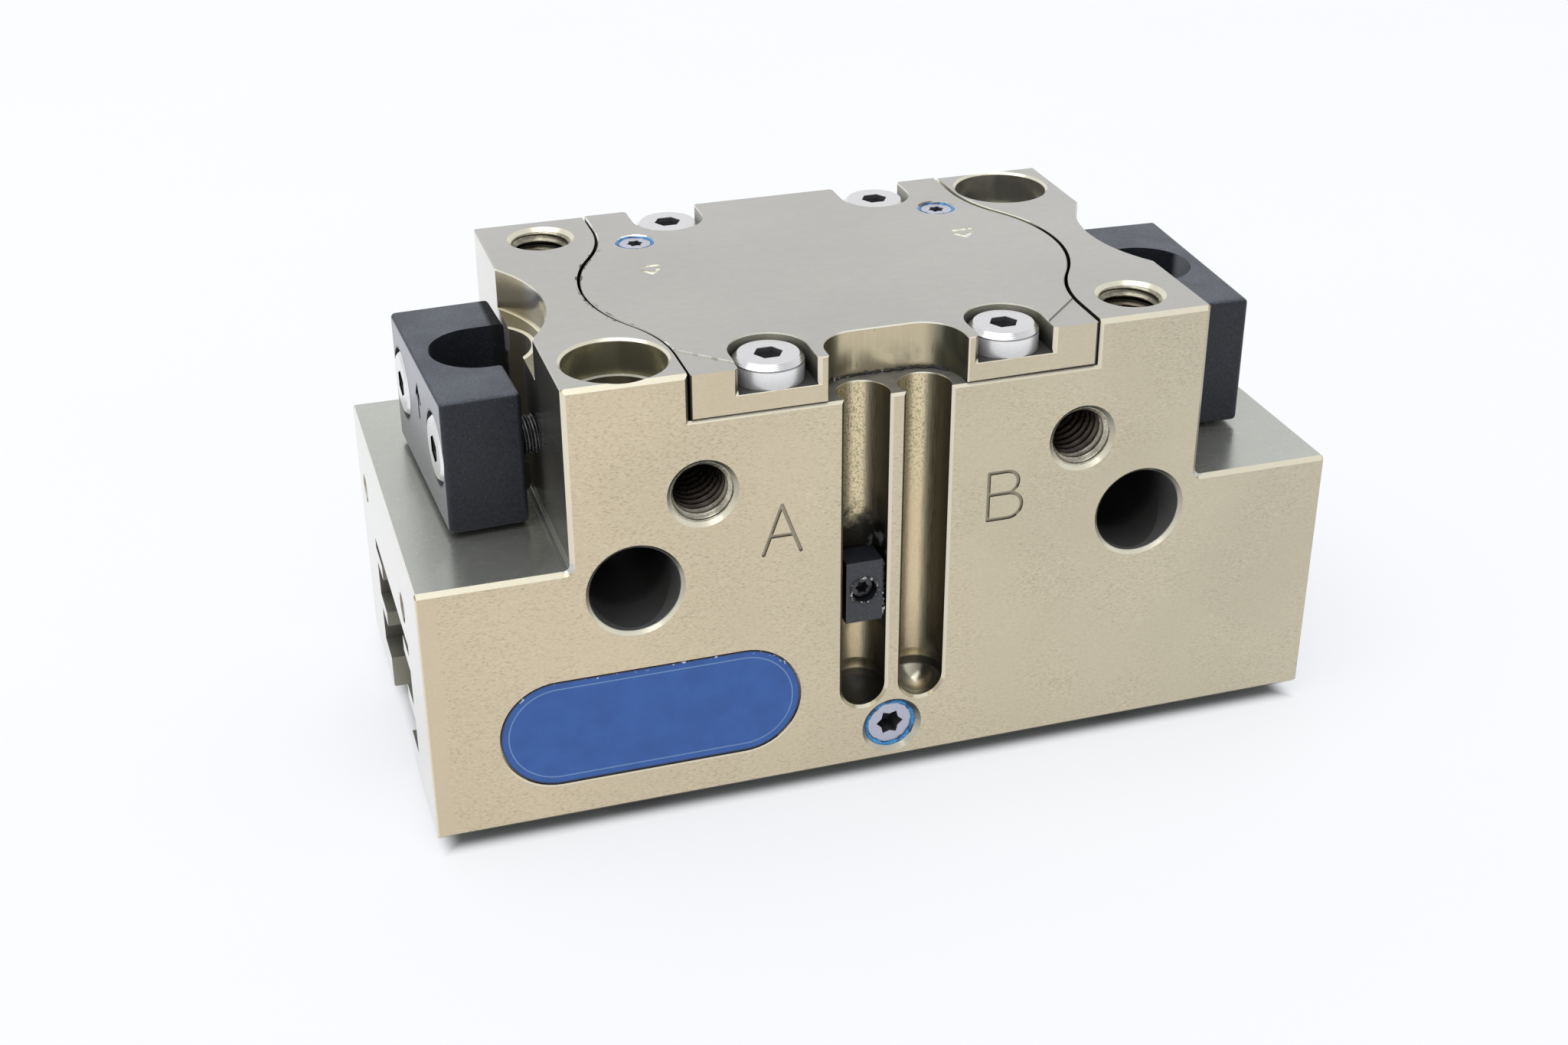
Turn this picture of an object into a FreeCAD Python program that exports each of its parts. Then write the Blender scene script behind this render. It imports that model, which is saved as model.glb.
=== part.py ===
import FreeCAD, Part
import Sketcher
import math
import os
import re

V = FreeCAD.Vector
Rot = FreeCAD.Rotation

doc = FreeCAD.newDocument("parallel_gripper")

# ---------------------------------------------------------------------------
# Driving dimensions in millimetres. Heights count from the housing's lower
# face; every piece is then lifted by jaw_proud, the height by which the finger
# seats of the base jaws stand out of the housing.
# X is the jaw stroke, -Y the front with the air ports, +Z the mounting face.
# ---------------------------------------------------------------------------
CELLS = [
    ("jaw_proud", 1.1, "finger seats stand out of the housing"),
    ("body_len", 75.0, "housing length"),
    ("body_dep", 35.2, "housing depth"),
    ("body_top", 36.8, "housing height"),
    ("ledge_z", 22.0, "height of the end ledges"),
    ("tower_half", 25.8, "half length of the tower"),
    ("edge_cham", 0.35, "broken outer edges"),
    ("side_brk", 0.12, "broken edges at the ends"),
    ("root_fil", 0.5, "fillet at the foot of the tower"),
    # guide
    ("slot_top", 13.0, "ceiling of the jaw guide"),
    ("slot_half", 5.9, "half width between the lands"),
    ("groove_half", 9.35, "half width between the groove floors"),
    ("groove_low", 2.9, "lower flank of the first groove"),
    ("groove_ht", 3.2, "groove height"),
    ("groove_step", 4.55, "groove pitch"),
    ("run_gap", 0.1, "running gap in the guide"),
    # hook chamber, cylinder
    ("chamber_x", 16.2, "half length of the hook chamber"),
    ("chamber_y", 5.7, "half width of the hook chamber"),
    ("chamber_top", 15.5, "underside of the cylinder floor"),
    ("cyl_floor", 18.5, "cylinder floor"),
    ("cyl_r", 11.4, "end radius of the oval cylinder"),
    ("cyl_c", 4.1, "centres of the oval cylinder"),
    ("rod_r", 5.0, "piston rod radius"),
    ("rod_gap", 0.05, "rod clearance"),
    ("rodseal_low", 16.2, "rod seal groove, lower flank"),
    ("rodseal_ht", 1.6, "rod seal groove height"),
    ("rodseal_r", 6.65, "rod seal groove radius"),
    # cover
    ("seat_z", 33.0, "cover seat"),
    ("cover_half", 16.15, "half length of the cover at its corners"),
    ("wave_c", 6.25, "centres of the cover's round ends"),
    ("wave_r", 13.85, "radius of the cover's round ends"),
    ("wave_fil", 12.0, "hollow between round end and corner"),
    ("cover_gap", 0.25, "joint gap round the cover"),
    ("cover_rim", 0.08, "broken rim of the cover"),
    ("cover_lift", 0.12, "relief under the front and back edges of the cover"),
    ("spigot_dep", 1.2, "cover spigot in the cylinder"),
    ("spigot_gap", 0.1, "spigot clearance"),
    ("cs_x", 9.45, "cover screws"),
    ("cs_y", 14.8, "cover screws"),
    ("notch_r", 3.08, "screw notch radius"),
    ("notch_z", 34.6, "screw notch floor"),
    ("notch_cham", 0.3, "broken upright edges of the notches"),
    ("bay_brk", 0.1, "broken upright edges of the bay"),
    ("bay_half", 5.55, "half width of the front bay"),
    ("bay_y", 13.4, "back wall of the front bay"),
    ("bay_fil", 3.2, "corner radius of the front bay"),
    ("corner_sum", 28.8, "corner relief, sum of x and y"),
    ("corner_dep", 0.12, "corner relief depth"),
    ("plug_x", 13.5, "direct port plugs"),
    ("plug_y", 10.1, "direct port plugs"),
    ("oring_in", 11.9, "cover seal groove, inner radius"),
    ("oring_out", 12.8, "cover seal groove, outer radius"),
    ("oring_dep", 0.8, "cover seal groove depth"),
    # mounting holes
    ("mh_x", 20.85, "mounting holes"),
    ("mh_y", 13.3, "mounting holes"),
    ("sleeve_r", 4.0, "centring sleeve seat radius"),
    ("sleeve_dep", 2.9, "centring sleeve seat depth"),
    ("sleeve_cham", 0.2, "sleeve seat chamfer"),
    ("relief_r", 3.6, "bore under the sleeve seat"),
    ("relief_dep", 7.0, "depth of that bore"),
    ("screwway_r", 2.75, "screw passage"),
    ("m5_r", 2.5, "M5 thread"),
    ("m5_dep", 12.0, "mounting thread depth"),
    ("m5_cham", 0.32, "thread chamfer"),
    ("side_z", 19.55, "side bolt holes"),
    ("side_x", 20.9, "side bolt holes"),
    ("side_r", 3.6, "side bolt hole, head bore radius"),
    ("side_in", 28.6, "head bore depth"),
    ("side_thru", 2.25, "side bolt hole, passage radius"),
    ("side_cham", 0.3, "side bolt hole chamfer"),
    # air ports
    ("port_x", 15.45, "air ports"),
    ("port_z", 26.95, "air ports"),
    ("port_dep", 8.0, "air port thread depth"),
    ("duct_r", 0.9, "air ducts"),
    ("purge_z", 3.15, "purge port height"),
    ("purge_r", 2.05, "purge port radius"),
    ("purge_dep", 5.6, "purge port depth"),
    ("purge_cham", 0.5, "purge port chamfer"),
    # sensor slots
    ("cslot_x", 2.48, "sensor slots"),
    ("cslot_y", 16.38, "sensor slot centre"),
    ("cslot_r", 2.1, "sensor slot radius"),
    ("cslot_low", 7.4, "sensor slot end"),
    ("cslot_end", 2.15, "ball end radius"),
    ("cslot_endy", 16.28, "ball end centre"),
    ("cslot_cham", 0.22, "broken edges of slots and cover seat"),
    # label
    ("lab_x", -19.95, "label centre"),
    ("lab_z", 7.95, "label centre"),
    ("lab_c", 7.45, "label oval, half centre distance"),
    ("lab_r", 4.6, "label oval, end radius"),
    ("lab_gap", 0.12, "gap round the label"),
    ("lab_dep", 0.45, "label pocket depth"),
    ("lab_thick", 0.4, "label thickness"),
    # end faces
    ("chan_z", 15.8, "air channel drillings"),
    ("chan_ya", 8.1, "air channel drilling"),
    ("chan_yb", 13.3, "air channel drilling"),
    ("chan_r", 1.25, "air channel radius"),
    ("chan_dep", 7.0, "air channel depth"),
    ("ball_r", 1.23, "ball plug radius"),
    ("ball_in", 1.9, "ball plug centre below the face"),
    # sensor seat
    ("sens_x", 28.7, "sensor axis"),
    ("well_x", 28.78, "sensor well axis"),
    ("well_r", 4.18, "sensor well radius in the housing"),
    ("scal_x", 36.6, "upper scallop centre"),
    ("scal_r", 13.2, "upper scallop radius"),
    ("scal_z", 33.4, "upper scallop floor"),
    # sensor bracket
    ("brk_turn", 2.6, "turn of the bracket about the sensor axis, degrees"),
    ("brk_out", 5.24, "outer face from the sensor axis"),
    ("brk_arm", 1.02, "front arm from the sensor axis"),
    ("brk_nose", 2.9, "rear arm from the sensor axis"),
    ("brk_y", 9.65, "bracket half width"),
    ("brk_low", 22.4, "bracket underside"),
    ("brk_top", 33.4, "bracket top"),
    ("brk_fil", 0.4, "bracket edge radius"),
    ("brk_bore", 4.0, "sensor seat radius"),
    ("bs_y", 6.45, "bracket screws"),
    ("bs_z", 28.4, "bracket screws"),
    ("bs_head", 2.95, "bracket screw recess radius"),
    ("bs_proud", 0.12, "screw heads proud of the outer face"),
    ("bs_end", 10.6, "bracket thread end from the sensor axis"),
    ("slit_w", 0.45, "arrow mark, line width"),
    ("slit_dep", 0.35, "arrow mark, depth"),
    # M3 screws
    ("m3_r", 1.5, "M3 thread"),
    ("m3_clear", 1.7, "M3 passage"),
    ("m3_head", 2.75, "M3 low head radius"),
    ("m3_headht", 1.9, "M3 low head height"),
    ("m3_shank", 1.46, "M3 shank radius"),
    ("m3_hex", 2.0, "M3 low head, hexagon across flats"),
    ("m3_hexdep", 1.1, "hexagon depth"),
    ("cs_len", 8.4, "cover screw length"),
    ("bs_len", 11.8, "bracket screw length"),
    ("head_cham", 0.4, "screw head chamfer"),
    # piston
    ("pis_low", 26.2, "piston underside, jaws closed"),
    ("pis_top", 31.7, "piston top, jaws closed"),
    ("pis_gap", 0.09, "piston clearance"),
    ("pseal_low", 28.0, "piston seal groove"),
    ("pseal_ht", 2.0, "piston seal groove height"),
    ("pseal_dep", 1.5, "piston seal groove depth"),
    ("pseal_gap", 0.06, "piston seal clearance"),
    ("ps_head", 4.25, "piston screw head radius"),
    ("ps_headht", 2.7, "piston screw head height"),
    ("ps_len", 14.0, "piston screw length"),
    ("ps_shank", 2.46, "piston screw shank radius"),
    ("ps_hex", 3.0, "piston screw, hexagon across flats"),
    ("mag_y", 7.2, "magnets"),
    ("mag_r", 1.9, "magnet radius"),
    ("mag_dep", 3.2, "magnet pocket depth"),
    # wedge hook and jaws: flank runs outward by hook_slope per unit of height
    ("hook_low", 8.9, "hook underside, jaws closed"),
    ("hook_top", 15.2, "hook top, jaws closed"),
    ("hook_x", 10.8, "outer flank at the hook underside"),
    ("hook_slope", 0.8, "jaw stroke per piston stroke"),
    ("hook_head", 2.4, "hook head, measured along X"),
    ("hook_y", 4.7, "hook head half width"),
    ("web_y", 2.6, "hook web half width"),
    ("hook_gap", 0.1, "clearance in the jaw"),
    ("jaw_end", 31.0, "jaw outer end, closed"),
    ("jaw_lip", 4.5, "jaw inner face behind the outer flank"),
    ("jaw_mid", 0.3, "jaw inner end from the middle, closed"),
    ("jaw_floor", 1.2, "floor of the hook pocket"),
    ("fing_xa", 17.5, "finger thread, closed"),
    ("fing_xb", 26.5, "finger thread, closed"),
    ("m4_r", 2.0, "M4 thread"),
    ("fing_dep", 7.6, "finger thread depth"),
    ("fsl_r", 3.0, "finger sleeve seat radius"),
    ("fsl_dep", 1.6, "finger sleeve seat depth"),
    ("jaw_cham", 0.3, "jaw edges"),
    ("cam_in", 26.0, "control cam inner end"),
    ("cam_ditch", 19.5, "inner end of the cam groove"),
    ("cam_y", 2.6, "cam groove half width"),
    ("cam_low", 10.4, "cam groove floor"),
    ("cam_gap", 0.04, "cam clearance"),
    ("camscrew_x", 28.4, "cam screw"),
    ("camscrew_r", 0.96, "cam screw shank radius"),
    ("camscrew_low", 8.4, "cam screw end"),
    # switch clamp
    ("clamp_low", 13.4, "switch clamp underside"),
    ("clamp_top", 18.8, "switch clamp top"),
    ("clamp_r", 1.95, "switch clamp radius"),
    ("clamp_half", 1.5, "switch clamp half width at the mouth"),
    ("clamp_face", 17.35, "switch clamp front"),
    ("clamp_back", 14.9, "switch clamp back"),
    ("clampscrew_z", 16.2, "clamp screw height"),
    ("clampscrew_r", 1.0, "clamp screw radius"),
    # marks
    ("mark_w", 0.3, "engraved line width"),
    ("mark_dep", 0.15, "engraved line depth"),
]
NAMES = set(c[0] for c in CELLS)
sheet = doc.addObject("Spreadsheet::Sheet", "Dims")
for i, (alias, value, note) in enumerate(CELLS, 1):
    sheet.set("A%d" % i, alias)
    sheet.set("B%d" % i, repr(value))
    sheet.setAlias("B%d" % i, alias)
    sheet.set("C%d" % i, note)
doc.recompute()


def ex(text):
    return re.sub(r"[A-Za-z_][A-Za-z_0-9]*",
                  lambda m: "Dims." + m.group(0) if m.group(0) in NAMES else m.group(0), str(text))


def bind(obj, prop, text):
    obj.setExpression(prop, ex(text))


def num(alias):
    return float(sheet.get(alias))


serial = [0]


def new(kind, stem):
    serial[0] += 1
    return doc.addObject(kind, "%s_%03d" % (stem, serial[0]))


def place(obj, x, y, z):
    bind(obj, "Placement.Base.x", x)
    bind(obj, "Placement.Base.y", y)
    bind(obj, "Placement.Base.z", z)


def box(x0, x1, y0, y1, z0, z1):
    b = new("Part::Box", "block")
    bind(b, "Length", "(%s)-(%s)" % (x1, x0))
    bind(b, "Width", "(%s)-(%s)" % (y1, y0))
    bind(b, "Height", "(%s)-(%s)" % (z1, z0))
    place(b, x0, y0, z0)
    return b


TURN = {"z": Rot(), "y": Rot(V(1, 0, 0), -90), "x": Rot(V(0, 1, 0), 90)}


def cyl(axis, a, b, lo, hi, r):
    c = new("Part::Cylinder", "round")
    c.Placement = FreeCAD.Placement(V(), TURN[axis])
    bind(c, "Radius", r)
    bind(c, "Height", "(%s)-(%s)" % (hi, lo))
    place(c, *{"z": (a, b, lo), "y": (a, lo, b), "x": (lo, a, b)}[axis])
    return c


def cone(axis, a, b, lo, hi, rlo, rhi):
    c = new("Part::Cone", "taper")
    c.Placement = FreeCAD.Placement(V(), TURN[axis])
    bind(c, "Radius1", rlo)
    bind(c, "Radius2", rhi)
    bind(c, "Height", "(%s)-(%s)" % (hi, lo))
    place(c, *{"z": (a, b, lo), "y": (a, lo, b), "x": (lo, a, b)}[axis])
    return c


def ball(x, y, z, r):
    s = new("Part::Sphere", "ball")
    bind(s, "Radius", r)
    place(s, x, y, z)
    return s


def slant(x0, x1, u0, u1, half, z0, z1):
    """Bar between heights z0 and z1 from x0..x1 below to u0..u1 above, centred on Y."""
    w = new("Part::Wedge", "slant")
    bind(w, "Xmin", x0)
    bind(w, "Xmax", x1)
    bind(w, "X2min", u0)
    bind(w, "X2max", u1)
    bind(w, "Ymin", z0)
    bind(w, "Ymax", z1)
    for p, s in (("Zmin", "-"), ("Z2min", "-"), ("Zmax", ""), ("Z2max", "")):
        bind(w, p, "%s(%s)" % (s, half))
    w.Placement = FreeCAD.Placement(V(), Rot(V(1, 0, 0), 90))
    return w


def fuse(items):
    if len(items) == 1:
        return items[0]
    f = new("Part::MultiFuse", "joined")
    f.Shapes = items
    f.Refine = True
    return f


def cut(base, tools, tidy=True):
    c = new("Part::Cut", "cut")
    c.Base = base
    c.Tool = fuse(tools)
    c.Refine = tidy
    return c


def common(a, b):
    c = new("Part::MultiCommon", "shared")
    c.Shapes = [a, b]
    return c


def oval(axis, a, b, half, r, lo, hi):
    """Stadium with its long side along X: across Y for axis z, across Z for axis y."""
    if axis == "z":
        mid = box("(%s)-(%s)" % (a, half), "(%s)+(%s)" % (a, half), "(%s)-(%s)" % (b, r), "(%s)+(%s)" % (b, r), lo, hi)
    else:
        mid = box("(%s)-(%s)" % (a, half), "(%s)+(%s)" % (a, half), lo, hi, "(%s)-(%s)" % (b, r), "(%s)+(%s)" % (b, r))
    return fuse([mid, cyl(axis, "(%s)-(%s)" % (a, half), b, lo, hi, r), cyl(axis, "(%s)+(%s)" % (a, half), b, lo, hi, r)])


def edges_where(obj, test):
    doc.recompute()
    return [i for i, e in enumerate(obj.Shape.Edges, 1) if test(e)]


def dress(kind, base, sizes):
    """Fillet or chamfer: sizes is a list of edge index and one or two sizes."""
    f = new("Part::" + kind, kind.lower())
    f.Base = base
    f.Edges = [(s[0], s[1], s[-1]) for s in sizes]
    doc.recompute()
    return f


def compound(items):
    c = new("Part::Compound", "group")
    c.Links = items
    return c


# --- sketch-made bodies -------------------------------------------------------
def body(stem):
    return new("PartDesign::Body", stem)


def sketch(bd, z="0", x="0", y="0", role="XY_Plane"):
    serial[0] += 1
    s = bd.newObject("Sketcher::SketchObject", "profile_%03d" % serial[0])
    plane = [f for f in bd.Origin.OriginFeatures if f.Role == role][0]
    s.AttachmentSupport = [(plane, "")]
    s.MapMode = "FlatFace"
    bind(s, "AttachmentOffset.Base.x", x)
    bind(s, "AttachmentOffset.Base.y", y)
    bind(s, "AttachmentOffset.Base.z", z)
    return s


def draw_circle(s, r):
    g = s.addGeometry(Part.Circle(V(), V(0, 0, 1), 2.0), False)
    s.addConstraint(Sketcher.Constraint("Coincident", g, 3, -1, 1))
    k = s.addConstraint(Sketcher.Constraint("Radius", g, 2.0))
    s.setExpression("Constraints[%d]" % k, ex(r))


def draw_oval(s, half, r, h0, r0):
    """Stadium about the sketch origin; h0 and r0 are the sizes it is first drawn with."""
    a = s.addGeometry(Part.ArcOfCircle(Part.Circle(V(h0, 0), V(0, 0, 1), r0), -math.pi / 2, math.pi / 2), False)
    b = s.addGeometry(Part.ArcOfCircle(Part.Circle(V(-h0, 0), V(0, 0, 1), r0), math.pi / 2, 3 * math.pi / 2), False)
    t = s.addGeometry(Part.LineSegment(V(h0, r0), V(-h0, r0)), False)
    u = s.addGeometry(Part.LineSegment(V(-h0, -r0), V(h0, -r0)), False)
    C = Sketcher.Constraint
    for c in (C("Coincident", a, 2, t, 1), C("Coincident", t, 2, b, 1), C("Coincident", b, 2, u, 1),
              C("Coincident", u, 2, a, 1), C("Vertical", a, 1, a, 3), C("Vertical", a, 2, a, 3),
              C("Vertical", b, 1, b, 3), C("Vertical", b, 2, b, 3), C("Equal", a, b),
              C("Symmetric", a, 3, b, 3, -1, 1), C("PointOnObject", a, 3, -1)):
        s.addConstraint(c)
    k = s.addConstraint(C("Radius", a, r0))
    s.setExpression("Constraints[%d]" % k, ex(r))
    k = s.addConstraint(C("DistanceX", b, 3, a, 3, 2 * h0))
    s.setExpression("Constraints[%d]" % k, ex("2*(%s)" % half))


def draw_hexagon(s, flats):
    r0 = 1.0
    rim = s.addGeometry(Part.Circle(V(), V(0, 0, 1), r0), True)
    C = Sketcher.Constraint
    s.addConstraint(C("Coincident", rim, 3, -1, 1))
    pts = [V(r0 * math.cos(math.radians(60 * i)), r0 * math.sin(math.radians(60 * i))) for i in range(6)]
    ids = [s.addGeometry(Part.LineSegment(pts[i], pts[(i + 1) % 6]), False) for i in range(6)]
    for i in range(6):
        s.addConstraint(C("Coincident", ids[i], 2, ids[(i + 1) % 6], 1))
        s.addConstraint(C("PointOnObject", ids[i], 1, rim))
        if i:
            s.addConstraint(C("Equal", ids[0], ids[i]))
    s.addConstraint(C("PointOnObject", ids[0], 1, -1))
    k = s.addConstraint(C("Radius", rim, r0))
    s.setExpression("Constraints[%d]" % k, ex("(%s)/1.7320508" % flats))


def draw_star(s, tip, root):
    """Six-lobed socket as a twelve-cornered star."""
    C = Sketcher.Constraint
    rims = []
    for r0, e in ((1.2, tip), (0.8, root)):
        g = s.addGeometry(Part.Circle(V(), V(0, 0, 1), r0), True)
        s.addConstraint(C("Coincident", g, 3, -1, 1))
        k = s.addConstraint(C("Radius", g, r0))
        s.setExpression("Constraints[%d]" % k, ex(e))
        rims.append(g)
    pts = [V((1.2, 0.8)[i % 2] * math.cos(math.radians(30 * i)), (1.2, 0.8)[i % 2] * math.sin(math.radians(30 * i)))
           for i in range(12)]
    ids = [s.addGeometry(Part.LineSegment(pts[i], pts[(i + 1) % 12]), False) for i in range(12)]
    for i in range(12):
        s.addConstraint(C("Coincident", ids[i], 2, ids[(i + 1) % 12], 1))
        s.addConstraint(C("PointOnObject", ids[i], 1, rims[i % 2]))
        if i:
            s.addConstraint(C("Equal", ids[0], ids[i]))
    s.addConstraint(C("PointOnObject", ids[0], 1, -1))


def pad(bd, s, length, down=False):
    serial[0] += 1
    p = bd.newObject("PartDesign::Pad", "pad_%03d" % serial[0])
    p.Profile = s
    p.Reversed = down
    bind(p, "Length", length)
    doc.recompute()
    return p


def pocket(bd, s, depth, up=False):
    serial[0] += 1
    p = bd.newObject("PartDesign::Pocket", "pocket_%03d" % serial[0])
    p.Profile = s
    p.Reversed = up
    bind(p, "Length", depth)
    before = bd.Shape.Volume
    doc.recompute()
    if not bd.Shape.Volume < before - 1e-4:
        raise RuntimeError("pocket cuts nothing in " + bd.Name)
    return p


def rim_chamfer(bd, feature, z, size):
    serial[0] += 1
    c = bd.newObject("PartDesign::Chamfer", "chamfer_%03d" % serial[0])
    best = max(((e.Curve.Radius, i) for i, e in enumerate(feature.Shape.Edges, 1)
                if hasattr(e.Curve, "Radius") and abs(e.BoundBox.ZMin - z) < 1e-4 and abs(e.BoundBox.ZMax - z) < 1e-4))
    c.Base = (feature, ["Edge%d" % best[1]])
    bind(c, "Size", size)
    doc.recompute()
    return c


def low_screw(head_r, head_h, shank_r, length, hexa, hexdep, cham):
    """Low-head socket screw on its own axis: seat at z = 0, shank down, head up."""
    bd = body("screw")
    s = sketch(bd)
    draw_circle(s, head_r)
    p = pad(bd, s, head_h)
    rim_chamfer(bd, p, num(head_h), cham)
    s = sketch(bd, z="0")
    draw_circle(s, shank_r)
    pad(bd, s, length, down=True)
    s = sketch(bd, z=head_h)
    draw_hexagon(s, hexa)
    pocket(bd, s, hexdep)
    return bd


def plug_screw(r, length, tip, root, depth):
    """Headless screw plug on its own axis: outer face at z = 0, body down."""
    bd = body("plug")
    s = sketch(bd)
    draw_circle(s, r)
    p = pad(bd, s, length, down=True)
    rim_chamfer(bd, p, 0.0, "0.15")
    s = sketch(bd)
    draw_star(s, tip, root)
    pocket(bd, s, depth)
    return bd


NODES = {}


def node(name, obj):
    """Names a sub-part and lifts it so that the finger seats lie at height 0."""
    obj.Label = name
    base = obj.Placement.Base
    bind(obj, "Placement.Base.z", "jaw_proud")
    NODES[name] = obj
    return obj


SIDES = ((-1, "left"), (1, "right"))
HL, HD = "body_len/2", "body_dep/2"

# ---------------------------------------------------------------------------
# Housing: block with tower, broken edges, then every cut-out
# ---------------------------------------------------------------------------
block = fuse([box("-" + HL, HL, "-" + HD, HD, "0", "ledge_z"),
              box("-tower_half", "tower_half", "-" + HD, HD, "1", "body_top")])
th, hl, hd = num("tower_half"), num("body_len") / 2, num("body_dep") / 2
lz, tz = num("ledge_z"), num("body_top")


def at(v, w):
    return abs(v - w) < 1e-4


feet = edges_where(block, lambda e: at(abs(e.CenterOfMass.x), th) and at(e.CenterOfMass.z, lz) and at(e.CenterOfMass.y, 0))
block = dress("Fillet", block, [(i, num("root_fil")) for i in feet])


def outer(e):
    c = e.CenterOfMass
    if at(abs(c.y), hd):
        return True
    along_y = at(c.y, 0) and e.BoundBox.YLength > 30
    return along_y and ((at(abs(c.x), hl) and (at(c.z, 0) or at(c.z, lz))) or (at(abs(c.x), th) and at(c.z, tz)))


def thin(e):
    c = e.CenterOfMass
    upright = at(abs(c.y), hd) and e.BoundBox.ZLength > 5
    return outer(e) and (upright or at(c.y, 0))


block = dress("Chamfer", block, [(i, num("edge_cham")) for i in edges_where(block, lambda e: outer(e) and not thin(e))]
              + [(i, num("side_brk")) for i in edges_where(block, thin)])

def turned(obj, s):
    """Piece laid out round a sensor axis at the origin, turned and put on the left or right axis."""
    whole = compound([obj])
    whole.Placement = FreeCAD.Placement(V(), Rot(V(0, 0, 1), -float(s) * num("brk_turn")))
    bind(whole, "Placement.Base.x", s + "*sens_x")
    return whole


def flare(x, half0, half1, y0, y1, low0, low1, z1):
    """Block that narrows from the front face inward."""
    w = new("Part::Wedge", "flare")
    for prop, text in (("Xmin", "(%s)-(%s)" % (x, half0)), ("Xmax", "(%s)+(%s)" % (x, half0)), ("X2min", "(%s)-(%s)" % (x, half1)),
                       ("X2max", "(%s)+(%s)" % (x, half1)), ("Ymin", y0), ("Ymax", y1), ("Zmin", low0), ("Z2min", low1),
                       ("Zmax", z1), ("Z2max", z1)):
        bind(w, prop, text)
    return w


tools = []
# jaw guide with three grooves each side
tools.append(box("-40", "40", "-slot_half", "slot_half", "-1", "slot_top"))
for k in range(3):
    hi = "slot_top" if k == 2 else "groove_low+groove_ht+%d*groove_step" % k
    tools.append(box("-40", "40", "-groove_half", "groove_half", "groove_low+%d*groove_step" % k, hi))
tools.append(box("-chamber_x", "chamber_x", "-chamber_y", "chamber_y", "slot_top-0.2", "chamber_top"))
# cylinder, rod bore and seal grooves
tools.append(oval("z", "0", "0", "cyl_c", "cyl_r", "cyl_floor", "seat_z+0.2"))
tools.append(cyl("z", "0", "0", "chamber_top-0.2", "cyl_floor+0.2", "rod_r+rod_gap"))
tools.append(cyl("z", "0", "0", "rodseal_low", "rodseal_low+rodseal_ht", "rodseal_r"))
tools.append(cut(oval("z", "0", "0", "cyl_c", "oring_out", "seat_z-oring_dep", "seat_z+0.3"),
                 [oval("z", "0", "0", "cyl_c", "oring_in", "seat_z-oring_dep-1", "seat_z+1")]))


def wavy(gap, y, z0, z1):
    """Plate outline with a round end each side, blended into straight corners."""
    plate = fuse([box("-(cover_half+%s)" % gap, "cover_half+%s" % gap, "-(%s)" % y, y, z0, z1)]
                 + [cyl("z", "%s*wave_c" % s, "0", z0, z1, "wave_r+%s" % gap) for s in ("-1", "1")])
    g = 0.0 if gap == "0" else num(gap)
    xh = num("cover_half") + g
    yk = math.sqrt((num("wave_r") + g) ** 2 - (xh - num("wave_c")) ** 2)
    inner = edges_where(plate, lambda e: at(abs(e.CenterOfMass.x), xh) and at(abs(e.CenterOfMass.y), yk)
                        and e.BoundBox.ZLength > 1)
    return dress("Fillet", plate, [(i, num("wave_fil") - g) for i in inner])


tools.append(wavy("cover_gap", "body_dep/2+1", "seat_z", "body_top+2"))
for sx in ("-1", "1"):
    for sy in ("-1", "1"):
        tools.append(cyl("z", sx + "*cs_x", sy + "*cs_y", "seat_z-8", "seat_z+0.2", "m3_r"))
# mounting holes: sleeve seats on one diagonal, threads on the other
for s, t in (("-1", "-1"), ("1", "1")):
    x, y = s + "*mh_x", t + "*mh_y"
    tools.append(cyl("z", x, y, "body_top-sleeve_dep", "body_top+1", "sleeve_r"))
    tools.append(cone("z", x, y, "body_top-sleeve_cham", "body_top+0.2", "sleeve_r", "sleeve_r+sleeve_cham+0.2"))
    tools.append(cyl("z", x, y, "body_top-relief_dep", "body_top-1", "relief_r"))
    tools.append(cyl("z", x, y, "side_z", "body_top-1", "screwway_r"))
for s, t in (("-1", "1"), ("1", "-1")):
    x, y = s + "*mh_x", t + "*mh_y"
    tools.append(cyl("z", x, y, "body_top-m5_dep", "body_top+1", "m5_r"))
    tools.append(cone("z", x, y, "body_top-m5_cham", "body_top+0.2", "m5_r", "m5_r+m5_cham+0.2"))
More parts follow.
